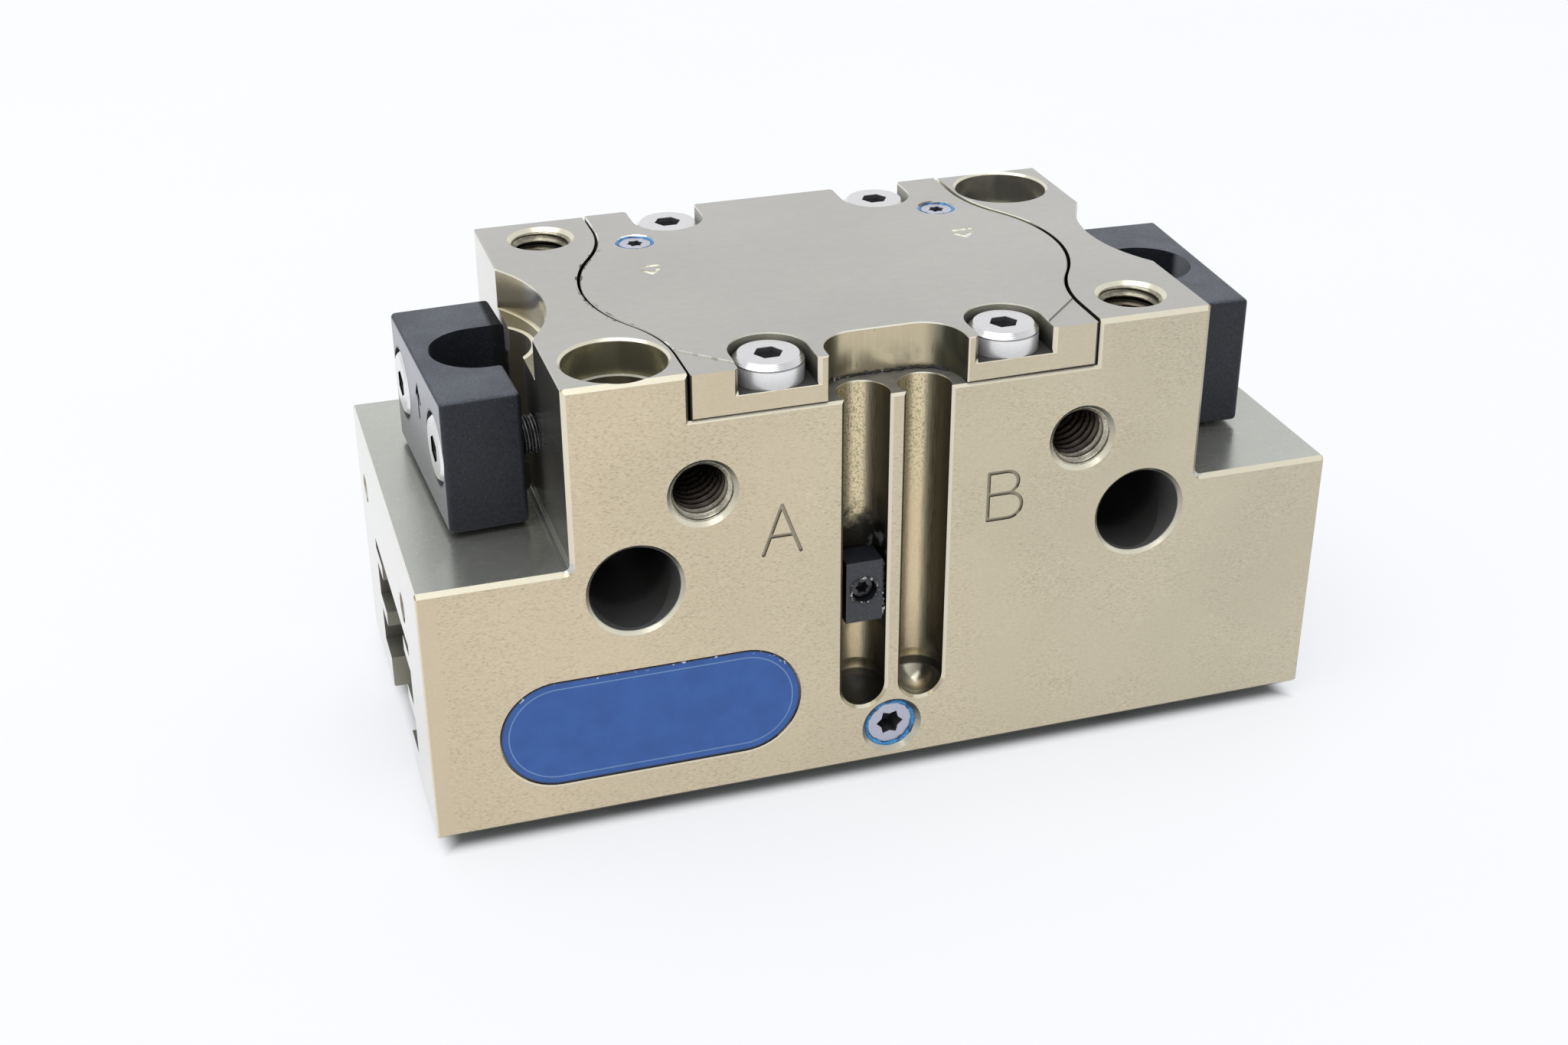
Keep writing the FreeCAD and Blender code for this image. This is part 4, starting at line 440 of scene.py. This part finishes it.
def turned_steel(name, centres, tint=(0.86, 0.855, 0.85), rough=0.15, axis="z", wear=0.25, socket=None, face=None, side=None, drum=None):
    """Turned screw heads: rings about each axis. centres is one (|a|, |b|) pair in the plane across the axis.
    socket is the radius of the key socket and face the station of the head's face; side the foot and top of the head's side."""
    n = Net(name)
    a, b = {"z": (n.ax, n.ay), "x": (n.math("ABSOLUTE", n.add(n.y, 0.22)), n.z), "y": (n.x, n.z)}[axis]
    r = n.hypot(n.sub(a, centres[0]), n.sub(b, centres[1]))
    along = {"z": n.z, "x": n.sub(n.ax, n.mul(n.y, 0.0454)), "y": n.mul(n.y, -1.0)}[axis]
    w = n.noise(1.0, 2.0, 0.5, (3, 3, 3))
    ring = n.math("SINE", n.mul(n.add(r, n.mul(w, 0.05)), 58.0))
    fine = n.noise(9.0, 3.0, 0.6)
    col = n.mix(n.step(fine, 0.3, 0.75), (tint[0] * 0.90, tint[1] * 0.90, tint[2] * 0.90), tint)
    col = n.mix(n.mul(n.step(fine, 0.68, 0.8), wear), col, (0.25, 0.23, 0.20))
    rgh = n.step(fine, 0.3, 0.7, rough, rough + 0.1)
    metal = 1.0
    # painted shade on the head's side, darker towards its foot, with a painted shade line just under the top chamfer
    if side:
        low = n.mul(n.step(n.nz, 0.5, 0.3), n.step(along, side[1], side[0], 0.0, 0.30))
        col = n.mix(low, col, (0.10, 0.10, 0.10))
        line = n.mul(n.band(along, side[1] - 0.10, side[1], 0.03), n.step(n.nz, 0.9, 0.8))
        col = n.mix(n.mul(line, 0.7), col, (0.05, 0.05, 0.05))
        round_ = n.step(n.nz, 0.3, 0.2)
        rgh = n.mixf(round_, rgh, 0.36)
        metal = n.mixf(round_, 1.0, 0.60)
    # drum paints the head's side nearly black, a painted dark reflection of the bracket round it
    if drum:
        col = n.mix(n.step(n.nx, 0.5, 0.3), col, (drum, drum, drum))
    # painted shade inside the key socket
    if socket:
        hole = n.mul(n.step(r, socket, socket + 0.04, 1.0, 0.0), n.step(along, face - 0.02, face - 0.06))
        col = n.mix(n.mul(hole, 0.95), col, (0.030, 0.031, 0.034))
        rgh = n.mixf(hole, rgh, 0.5)
        metal = n.mixf(hole, metal, 0.2)
    nrm = n.bump(ring, 0.22, 0.006)
    nrm = n.bump(fine, 0.2, 0.004, nrm)
    return n.set(color=col, metal=metal, rough=rgh, normal=nrm)


def ground_steel(name, tint=(0.47, 0.47, 0.475)):
    n = Net(name)
    lines = n.noise(1.0, 3.0, 0.65, (0.25, 14.0, 14.0))
    soft = n.noise(0.25, 4.0, 0.55)
    fine = n.noise(8.0, 2.0, 0.5)
    col = n.mix(n.step(lines, 0.3, 0.7), tuple(c * 0.82 for c in tint), tuple(c * 1.1 for c in tint))
    col = n.mix(n.step(soft, 0.45, 0.75, 0.0, 0.45), col, (0.20, 0.17, 0.12))
    nrm = n.bump(lines, 0.3, 0.012)
    nrm = n.bump(fine, 0.12, 0.004, nrm)
    return n.set(color=col, metal=1.0, rough=n.step(soft, 0.3, 0.75, 0.22, 0.42), normal=nrm)


def black_plastic(name, base=0.010, rough=0.42, dust_and_sheen=1.0, flank=0.0, front=0.0):
    """Moulded blue-black plastic with a fine eroded skin, dust and a painted grey sheen where it faces up, a painted
    pale reflection where it faces out, and light specks.
    """
    n = Net(name)
    skin = n.noise(10.0, 4.0, 0.62)
    grainy = n.noise(4.2, 3.0, 0.70)
    cloud = n.noise(0.30, 4.0, 0.6)
    both = n.add(n.mul(skin, 0.4), n.mul(grainy, 0.6))
    col = n.mix(n.step(both, 0.36, 0.66), (base * 0.35, base * 0.45, base * 0.72), (base * 1.5, base * 1.85, base * 2.6))
    # dust and a painted grey sheen on the faces that point up
    up = n.step(n.nzs, 0.5, 0.98)
    dust_sheen_film = n.mul(n.step(cloud, 0.25, 0.75, 0.55, 1.0), n.mixf(up, 0.06, 1.0))
    dust_sheen_film = n.mul(dust_sheen_film, n.step(grainy, 0.3, 0.7, 0.80, 1.20))
    col = n.mix(n.mul(dust_sheen_film, 0.20 * dust_and_sheen), col, (0.35, 0.385, 0.46))
    # outer flanks carry a painted pale reflection that fades downwards
    side = n.step(n.nx, 0.90, 0.98)
    if flank:
        pale = n.mul(side, n.mul(n.step(n.ax, 31.0, 31.4), n.step(n.z, 22.5, 33.0, 0.30, 1.0)))
        col = n.mix(n.mul(pale, flank), col, n.mix(cloud, (0.235, 0.245, 0.275), (0.275, 0.285, 0.315)))
    if front:
        col = n.mix(n.mul(n.step(n.nys, -0.7, -0.9), front), col, n.mix(grainy, (0.12, 0.12, 0.13), (0.30, 0.30, 0.32)))
    if flank:
        # painted shade: a dark ring in the gap round each screw head on the outer flank
        d_head = n.hypot(n.sub(n.math("ABSOLUTE", n.add(n.y, 0.24)), 6.44), n.sub(n.z, 28.4))
        col = n.mix(n.mul(side, n.mul(n.band(d_head, 2.90, 3.12, 0.04), 0.92)), col, (0.006, 0.007, 0.009))
    # painted shade on the bracket's inner end, in the gap against the tower
    nose = n.step(n.ax, 27.3, 26.8) if flank else 0.0
    col = n.mix(nose, col, (0.004, 0.0045, 0.006))
    spot = n.step(n.cells(2.1), 0.045, 0.085, 1.0, 0.0)
    spot = n.mul(spot, n.step(n.noise(0.6, 2.0), 0.48, 0.60))
    tiny = n.mul(n.step(n.cells(4.4), 0.07, 0.12, 1.0, 0.0), n.step(n.noise(1.3, 2.0), 0.52, 0.62))
    col = n.mix(n.mul(n.mx(spot, n.mul(tiny, 0.5)), 0.45 * dust_and_sheen), col, (0.40, 0.41, 0.44))
    nrm = n.bump(n.mul(n.add(skin, grainy), n.mixf(side, 1.0, 0.35)), 0.5, 0.013)
    nrm = n.bump(n.mul(cloud, n.mixf(side, 1.0, 0.3)), 0.2, 0.03, nrm)
    dull = n.step(skin, 0.3, 0.7, rough - 0.06, rough + 0.10)
    dull = n.mixf(side, dull, n.mul(dull, 0.5))
    return n.set(color=col, rough=n.mixf(nose, dull, 0.85), normal=nrm, spec=0.36)


def blue_enamel(name):
    """Satin blue plate with a faint lighter border and handling marks."""
    n = Net(name)
    cloud = n.noise(0.4, 4.0, 0.55)
    fine = n.noise(11.0, 3.0, 0.6)
    dx = n.mx(n.sub(n.math("ABSOLUTE", n.add(n.x, 19.95)), 7.45), 0.0)
    r = n.hypot(dx, n.sub(n.z, 7.95))
    col = n.mix(n.step(cloud, 0.3, 0.7), (0.013, 0.074, 0.285), (0.019, 0.092, 0.335))
    col = n.mix(n.step(fine, 0.62, 0.8, 0.0, 0.35), col, (0.032, 0.118, 0.39))
    col = n.mix(n.mul(n.band(r, 3.95, 4.03, 0.03), 0.55), col, (0.20, 0.33, 0.52))
    col = n.mix(n.step(r, 4.44, 4.56), col, (0.012, 0.022, 0.06))
    nick = n.mul(n.band(r, 4.40, 4.62, 0.05), n.mul(n.step(n.noise(1.5, 3.0, 0.6), 0.60, 0.66), n.step(n.z, 9.0, 11.0)))
    col = n.mix(n.mul(nick, 0.8), col, (0.62, 0.66, 0.72))
    nrm = n.bump(fine, 0.2, 0.004)
    return n.set(color=col, rough=n.step(cloud, 0.3, 0.7, 0.30, 0.42), normal=nrm, spec=0.45, coat=0.12, coat_rough=0.25)


def rubber(name):
    n = Net(name)
    f = n.noise(5.0, 4.0, 0.6)
    col = n.mix(f, (0.010, 0.010, 0.010), (0.032, 0.031, 0.030))
    return n.set(color=col, rough=n.step(f, 0.3, 0.7, 0.5, 0.72), normal=n.bump(f, 0.3, 0.02), spec=0.35)


def sealant(name):
    n = Net(name)
    f = n.noise(6.0, 4.0, 0.65)
    g = n.noise(0.9, 3.0, 0.6)
    col = n.mix(n.step(f, 0.3, 0.7), (0.010, 0.110, 0.33), (0.06, 0.34, 0.68))
    col = n.mix(n.step(g, 0.46, 0.60, 0.0, 0.85), col, (0.006, 0.020, 0.075))
    return n.set(color=col, rough=n.step(f, 0.3, 0.7, 0.28, 0.5), normal=n.bump(f, 0.5, 0.03), spec=0.5)


def residue(name, bits=0.62):
    n = Net(name)
    f = n.noise(5.0, 4.0, 0.7)
    col = n.mix(n.step(f, 0.45, 0.7), (0.012, 0.012, 0.011), (0.06, 0.057, 0.05))
    col = n.mix(n.step(n.noise(2.4, 3.0, 0.6), bits, bits + 0.06), col, (0.42, 0.42, 0.40))
    return n.set(color=col, rough=n.step(f, 0.3, 0.7, 0.45, 0.8), normal=n.bump(f, 0.6, 0.05), spec=0.4)


def thread_metal(name, light, shade, axis="z", centre=(20.85, 13.3), radii=(2.08, 2.45), mouth=36.8, run=(0.5, 2.6)):
    """Cut thread: pale crests at the mouth with painted shade that deepens with depth, and painted shade in the black
    roots. centre is an (|a|, |b|) pair across the axis.
    """
    n = Net(name)
    f = n.noise(5.0, 4.0, 0.6)
    g = n.noise(0.9, 3.0, 0.5)
    a, b, along = {"z": (n.ax, n.ay, n.z), "y": (n.ax, n.z, n.mul(n.y, -1.0)), "x": (n.ay, n.z, n.ax)}[axis]
    r = n.hypot(n.sub(a, centre[0]), n.sub(b, centre[1]))
    depth = n.sub(mouth, along)
    # painted shade deepening from the mouth into the hole
    col = n.mix(n.step(depth, run[0], run[1]), light, shade)
    col = n.shade(col, n.mul(n.step(g, 0.35, 0.7, 0.75, 1.15), n.step(f, 0.3, 0.7, 0.75, 1.2)))
    d = radii[1] - radii[0]
    # painted shade in the thread roots
    root = n.mul(n.step(r, radii[0] + 0.35 * d, radii[1] - 0.1 * d), n.step(depth, run[0] + 0.15, run[0] + 0.45))
    col = n.mix(n.mul(root, 0.9), col, (0.008, 0.007, 0.006))
    return n.set(color=col, metal=0.9, rough=n.step(f, 0.3, 0.7, 0.22, 0.38), normal=n.bump(f, 0.25, 0.01))


M = {
    "housing": anodised("housing_anodised"),
    "cover": anodised("cover_anodised", cover=True),
    "cover_screw": turned_steel("cover_screw_steel", (9.45, 14.8), socket=1.2, face=36.5, side=(34.6, 36.1)),
    "bracket_screw": turned_steel("bracket_screw_steel", (6.45, 28.4), axis="x", socket=1.2, face=33.98, drum=0.03),
    "plug": turned_steel("plug_steel", (13.5, 10.1), (0.66, 0.665, 0.73), 0.24, socket=0.78, face=36.65),
    "purge": turned_steel("purge_steel", (0.0, 3.15), (0.50, 0.505, 0.60), 0.26, axis="y", socket=1.2, face=17.05),
    "clamp_screw": turned_steel("clamp_screw_steel", (-2.48, 16.2), (0.075, 0.075, 0.08), 0.22, axis="y", socket=0.62, face=16.80),
    "ball": turned_steel("ball_steel", (0.0, 0.0), (0.62, 0.61, 0.59), 0.2),
    "jaw": ground_steel("jaw_steel"),
    "cam": ground_steel("cam_steel", (0.58, 0.57, 0.55)),
    "piston": ground_steel("piston_aluminium", (0.66, 0.66, 0.66)),
    "magnet": turned_steel("magnet_nickel", (2.48, 7.2), (0.66, 0.65, 0.62), 0.15),
    "piston_screw": turned_steel("piston_screw_steel", (0.0, 0.0), (0.30, 0.30, 0.31), 0.3),
    "bracket": black_plastic("bracket_plastic", 0.0105, flank=0.8),
    "clamp": black_plastic("clamp_plastic", 0.010, 0.45, 0.04, front=0.13),
    "label": blue_enamel("label_enamel"),
    "rubber": rubber("seal_rubber"),
    "sealant": sealant("thread_sealant"),
    "residue": residue("joint_residue"),
    "crumbs": residue("clamp_crumbs", 0.54),
    "thread": thread_metal("thread_bronze", (0.50, 0.47, 0.375), (0.085, 0.068, 0.058), "y", (15.45, 26.95), mouth=17.6),
    "thread_top": thread_metal("thread_top_bronze", (0.40, 0.375, 0.29), (0.12, 0.105, 0.075), run=(0.4, 2.0)),
    "thread_steel": thread_metal("thread_black_steel", (0.16, 0.16, 0.165), (0.07, 0.07, 0.072), "x", (6.45, 28.4), (1.78, 1.44), 25.0),
}
FINISH = {
    "housing": "housing", "cylinder_cover": "cover", "cover_screws": "cover_screw", "cover_seal": "rubber",
    "direct_port_plugs": "plug", "purge_plug": "purge", "channel_plugs": "ball", "label_plate": "label",
    "rod_seal": "rubber", "sensor_bracket_left": "bracket", "sensor_bracket_right": "bracket",
    "bracket_screws_left": "bracket_screw", "bracket_screws_right": "bracket_screw", "piston": "piston",
    "piston_seal": "rubber", "piston_magnets": "magnet", "piston_screw": "piston_screw", "wedge_hook": "jaw",
    "jaw_left": "jaw", "control_cam_left": "cam", "cam_screw_left": "cam", "jaw_right": "jaw",
    "control_cam_right": "cam", "cam_screw_right": "cam", "switch_clamp": "clamp", "switch_clamp_screw": "clamp_screw",
}
for name, key in FINISH.items():
    o = nodes[name]
    o.data.materials.clear()
    o.data.materials.append(M[key])


# ---------------------------------------------------------------------------
# Added pieces
# ---------------------------------------------------------------------------
def make(name, verts, faces, key, body, smooth=True):
    me = bpy.data.meshes.new(name)
    me.from_pydata([(x * MM, y * MM, z * MM) for x, y, z in verts], [], faces)
    me.validate()
    o = bpy.data.objects.new(name, me)
    bpy.context.scene.collection.objects.link(o)
    me.materials.append(M[key])
    for p in me.polygons:
        p.use_smooth = smooth
    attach(o, body)
    return o


def frame_of(axis, origin):
    """Right-handed frame with its third axis along the given direction."""
    w = Vector(axis).normalized()
    u = Vector((0, 0, 1)).cross(w) if abs(w.z) < 0.9 else Vector((1, 0, 0))
    u.normalize()
    v = w.cross(u)
    o = Vector(origin)
    return lambda a, b, c: tuple(o + u * a + v * b + w * c)


def thread_sleeve(name, origin, axis, r_wall, r_major, r_minor, pitch, depth, key, body="gripper_body", lead=0.55, start=0.2):
    """Internal thread: a thin closed sleeve in a plain hole. The axis points into the hole from its mouth."""
    at = frame_of(axis, origin)
    nt, per = 72, 12
    ns = int(depth / pitch * per)
    verts, faces = [], []
    for j in range(ns + 1):
        s = start + (depth - start) * j / ns
        for i in range(nt):
            th = 2 * math.pi * i / nt
            ph = (s / pitch - i / nt) % 1.0
            tri = abs(2 * ph - 1)
            prof = min(1.0, max(0.0, (tri - 0.06) / 0.80))
            r = r_minor + (r_major - r_minor) * prof
            cone = r_wall - 0.012 - (s - start)
            r = max(r, min(cone, r_wall - 0.012))
            verts.append(at(r * math.cos(th), r * math.sin(th), s))
    k = len(verts)
    for s in (start, depth):
        for i in range(nt):
            th = 2 * math.pi * i / nt
            verts.append(at((r_wall - 0.004) * math.cos(th), (r_wall - 0.004) * math.sin(th), s))
    for j in range(ns):
        for i in range(nt):
            a, b = j * nt + i, j * nt + (i + 1) % nt
            faces.append((a, a + nt, b + nt, b))
    for i in range(nt):
        i2 = (i + 1) % nt
        a, b = k + i, k + i2
        faces.append((a, b, b + nt, a + nt))
        faces.append((i, i2, b, a))
        faces.append((ns * nt + i2, ns * nt + i, a + nt, b + nt))
    o = make(name, verts, faces, key, body)
    return o


def worm(name, origin, axis, r_core, r_major, pitch, lo, hi, key, body="gripper_body"):
    """External thread crests round a plain shank between two stations of its axis."""
    at = frame_of(axis, origin)
    nt, ns = 48, 40
    verts, faces = [], []
    for j in range(ns + 1):
        s = lo + (hi - lo) * j / ns
        for i in range(nt):
            th = 2 * math.pi * i / nt
            ph = (s / pitch - i / nt) % 1.0
            r = r_core + 0.02 + (r_major - r_core - 0.02) * max(0.0, 1 - abs(2 * ph - 1) * 1.25)
            verts.append(at(r * math.cos(th), r * math.sin(th), s))
    k = len(verts)
    for s in (lo, hi):
        for i in range(nt):
            th = 2 * math.pi * i / nt
            verts.append(at((r_core + 0.005) * math.cos(th), (r_core + 0.005) * math.sin(th), s))
    for j in range(ns):
        for i in range(nt):
            a, b = j * nt + i, j * nt + (i + 1) % nt
            faces.append((a, b, b + nt, a + nt))
    for i in range(nt):
        i2 = (i + 1) % nt
        a, b = k + i, k + i2
        faces.append((a, a + nt, b + nt, b))
        faces.append((i2, i, a, b))
        faces.append((ns * nt + i, ns * nt + i2, b + nt, a + nt))
    return make(name, verts, faces, key, body)


def bead(name, points, r, key, body="gripper_body", closed=False, wob=0.35, seed=1, flat=(1, 1, 1)):
    """Irregular bead along a path."""
    pts = [Vector(p) for p in points]
    n, nr = len(pts), 10
    verts, faces = [], []
    for i, p in enumerate(pts):
        q0 = pts[(i - 1) % n] if closed or i else pts[0]
        q1 = pts[(i + 1) % n] if closed or i < n - 1 else pts[-1]
        t = (q1 - q0).normalized()
        u = t.cross(Vector((0.31, 0.72, 0.62))).normalized()
        v = t.cross(u)
        end = 1.0 if closed else min(1.0, 0.25 + min(i, n - 1 - i) * 0.25)
        for j in range(nr):
            th = 2 * math.pi * j / nr
            k = 1 + wob * mnoise.noise(Vector((p.x * 1.9 + seed * 7.3, p.y * 1.9 + math.cos(th) * 0.7, p.z * 1.9 + math.sin(th) * 0.7)))
            k *= 1 + 0.6 * wob * mnoise.noise(Vector((p.x * 6.1, p.y * 6.1 + seed * 3.1, p.z * 6.1)))
            d = (u * math.cos(th) + v * math.sin(th)) * r * k * end
            verts.append((p.x + d.x * flat[0], p.y + d.y * flat[1], p.z + d.z * flat[2]))
    m = n if closed else n - 1
    for i in range(m):
        for j in range(nr):
            a, b = i * nr + j, i * nr + (j + 1) % nr
            c, d = ((i + 1) % n) * nr + j, ((i + 1) % n) * nr + (j + 1) % nr
            faces.append((a, c, d, b))
    if not closed:
        faces.append(tuple(range(nr)))
        faces.append(tuple((n - 1) * nr + j for j in reversed(range(nr))))
    return make(name, verts, faces, key, body)


def ring_points(cx, cy, cz, r, axis, count=64):
    at = frame_of(axis, (cx, cy, cz))
    return [at(r * math.cos(2 * math.pi * i / count), r * math.sin(2 * math.pi * i / count), 0) for i in range(count)]


# threads in the air ports and in the two mounting threads
for s, nm in ((-1, "open"), (1, "close")):
    thread_sleeve("port_thread_" + nm, (s * 15.45, -17.6, 26.95 + LIFT), (0, 1, 0), 2.5, 2.45, 2.08, 0.8, 7.8,
                  "thread", start=0.33)
thread_sleeve("flange_thread_rear", (-20.85, 13.3, 36.8 + LIFT), (0, 0, -1), 2.5, 2.45, 2.08, 0.8, 11.6, "thread_top", start=0.33)
thread_sleeve("flange_thread_front", (20.85, -13.3, 36.8 + LIFT), (0, 0, -1), 2.5, 2.45, 2.08, 0.8, 11.6, "thread_top", start=0.33)
# finger threads in the jaws, under their sleeve seats
for s, nm in ((-1, "left"), (1, "right")):
    for x, k in ((17.5, "inner"), (26.5, "outer")):
        thread_sleeve("finger_thread_%s_%s" % (nm, k), (s * x, 0, 0), (0, 0, 1), 2.0, 1.96, 1.66, 0.7, 7.5, "thread_steel",
                      body=nm + "_jaw", start=1.65)
    # bracket screws: thread crests in the gap between the front arm and the tower
    tilt = math.radians(2.6)
    worm("bracket_thread_" + nm, (s * (28.7 - 6.45 * math.sin(tilt)), -6.45 * math.cos(tilt), 28.4 + LIFT),
         (-s * math.cos(tilt), math.sin(tilt), 0), 1.46, 1.64, 0.5, 1.05, 2.56, "thread_steel")
# blue thread seal round the screw plugs
bead("purge_seal", ring_points(0, -17.12, 3.15 + LIFT, 2.02, (0, 1, 0)), 0.17, "sealant", closed=True, wob=0.55, seed=2, flat=(1, 0.8, 1))
for s, nm in ((-1, "left"), (1, "right")):
    bead("port_seal_" + nm, ring_points(s * 13.5, 10.1, 36.63 + LIFT, 1.47, (0, 0, 1), 48), 0.13, "sealant", closed=True,
         wob=0.6, seed=3 + s, flat=(1, 1, 0.8))
# crumbs caught beside the switch clamp and round its screw
edge_pts = [(-0.90 + 0.05 * math.sin(i * 1.7), -17.16 - 0.04 * math.cos(i * 2.3), 13.55 + LIFT + 5.1 * i / 40) for i in range(41)]
bead("clamp_crumbs", edge_pts, 0.12, "crumbs", body="clamp_unit", wob=1.4, seed=8)
bead("clamp_screw_crumbs", ring_points(-2.48, -17.36, 16.2 + LIFT, 1.13, (0, 1, 0), 56), 0.085, "crumbs", body="clamp_unit",
     closed=True, wob=1.5, seed=11)
# joint residue along the foot of the front bay
path = []
for i in range(61):
    x = -5.0 + 10.0 * i / 60
    dx = max(0.0, abs(x) - (5.55 - 3.2))
    y = -13.4 - (3.2 - math.sqrt(max(0.0, 3.2 ** 2 - dx ** 2)))
    path.append((x, y - 0.05, 33.0 + LIFT + 0.05))
bead("bay_residue", path, 0.12, "residue", wob=1.25, seed=5)

# ---------------------------------------------------------------------------
# Floor, light and camera
# ---------------------------------------------------------------------------
n = Net("floor_white")
f = n.noise(0.02, 3.0, 0.5)
# the floor glows evenly, and the glow is cut off under and just round the body's footprint: a painted contact shadow
glow = n.step(n.mx(n.sub(n.ax, 36.6), n.sub(n.ay, 17.6)), -1.1, 0.9)
M["floor"] = n.set(color=n.mix(f, (0.300, 0.303, 0.309), (0.312, 0.315, 0.321)), rough=0.75, spec=0.2)
n.b.inputs["Emission Color"].default_value = (0.960, 0.975, 1.0, 1)
n.put(n.b.inputs["Emission Strength"], n.mul(glow, 0.62))
me = bpy.data.meshes.new("floor")
S = 3.0
me.from_pydata([(-S, -S, 0), (S, -S, 0), (S, S, 0), (-S, S, 0)], [], [(0, 1, 2, 3)])
floor = bpy.data.objects.new("floor", me)
bpy.context.scene.collection.objects.link(floor)
me.materials.append(M["floor"])

scene = bpy.context.scene
world = bpy.data.worlds.new("studio")
scene.world = world
world.use_nodes = True
wt = world.node_tree
wt.nodes.clear()
wo = wt.nodes.new("ShaderNodeOutputWorld")
wb = wt.nodes.new("ShaderNodeBackground")
wc = wt.nodes.new("ShaderNodeTexCoord")
ws = wt.nodes.new("ShaderNodeSeparateXYZ")
wr = wt.nodes.new("ShaderNodeValToRGB")
wt.links.new(wc.outputs["Generated"], ws.inputs[0])
wt.links.new(ws.outputs[2], wr.inputs[0])
wr.color_ramp.elements[0].position = 0.0
wr.color_ramp.elements[0].color = (1.0, 1.0, 1.02, 1)
wr.color_ramp.elements[1].position = 0.8
wr.color_ramp.elements[1].color = (0.70, 0.71, 0.74, 1)
wt.links.new(wr.outputs[0], wb.inputs[0])
wb.inputs[1].default_value = 1.0
wt.links.new(wb.outputs[0], wo.inputs[0])


def area(name, pos, target, size, power, color=(1, 1, 1), size_y=None):
    d = bpy.data.lights.new(name, "AREA")
    d.shape = "RECTANGLE"
    d.size = size
    d.size_y = size_y or size
    d.energy = power
    d.color = color
    o = bpy.data.objects.new(name, d)
    scene.collection.objects.link(o)
    o.location = pos
    o.rotation_euler = (Vector(target) - Vector(pos)).to_track_quat("-Z", "Y").to_euler()
    return o


area("overhead", (-0.30, -0.15, 1.0), (0, 0, 0), 1.0, 6.5)

cam = bpy.data.cameras.new("camera")
cam.sensor_width = 36.0
cam.sensor_fit = "HORIZONTAL"
cam.lens = 2761.655 / 2048 * 36.0
cam.clip_start = 0.005
cam.clip_end = 20
co = bpy.data.objects.new("camera", cam)
scene.collection.objects.link(co)
az, el, roll = math.radians(-17.306), math.radians(28.152), math.radians(-0.304)
back = Vector((math.sin(az) * math.cos(el), -math.cos(az) * math.cos(el), math.sin(el)))
xv = Vector((0, 0, 1)).cross(back).normalized()
yv = back.cross(xv)
x2 = xv * math.cos(roll) + yv * math.sin(roll)
y2 = -xv * math.sin(roll) + yv * math.cos(roll)
rot = Matrix((x2, y2, back)).transposed().to_4x4()
co.matrix_world = Matrix.Translation(Vector((-51.43, -153.28, 99.55 + LIFT)) * MM) @ rot
scene.camera = co
scene.view_settings.view_transform = "Standard"
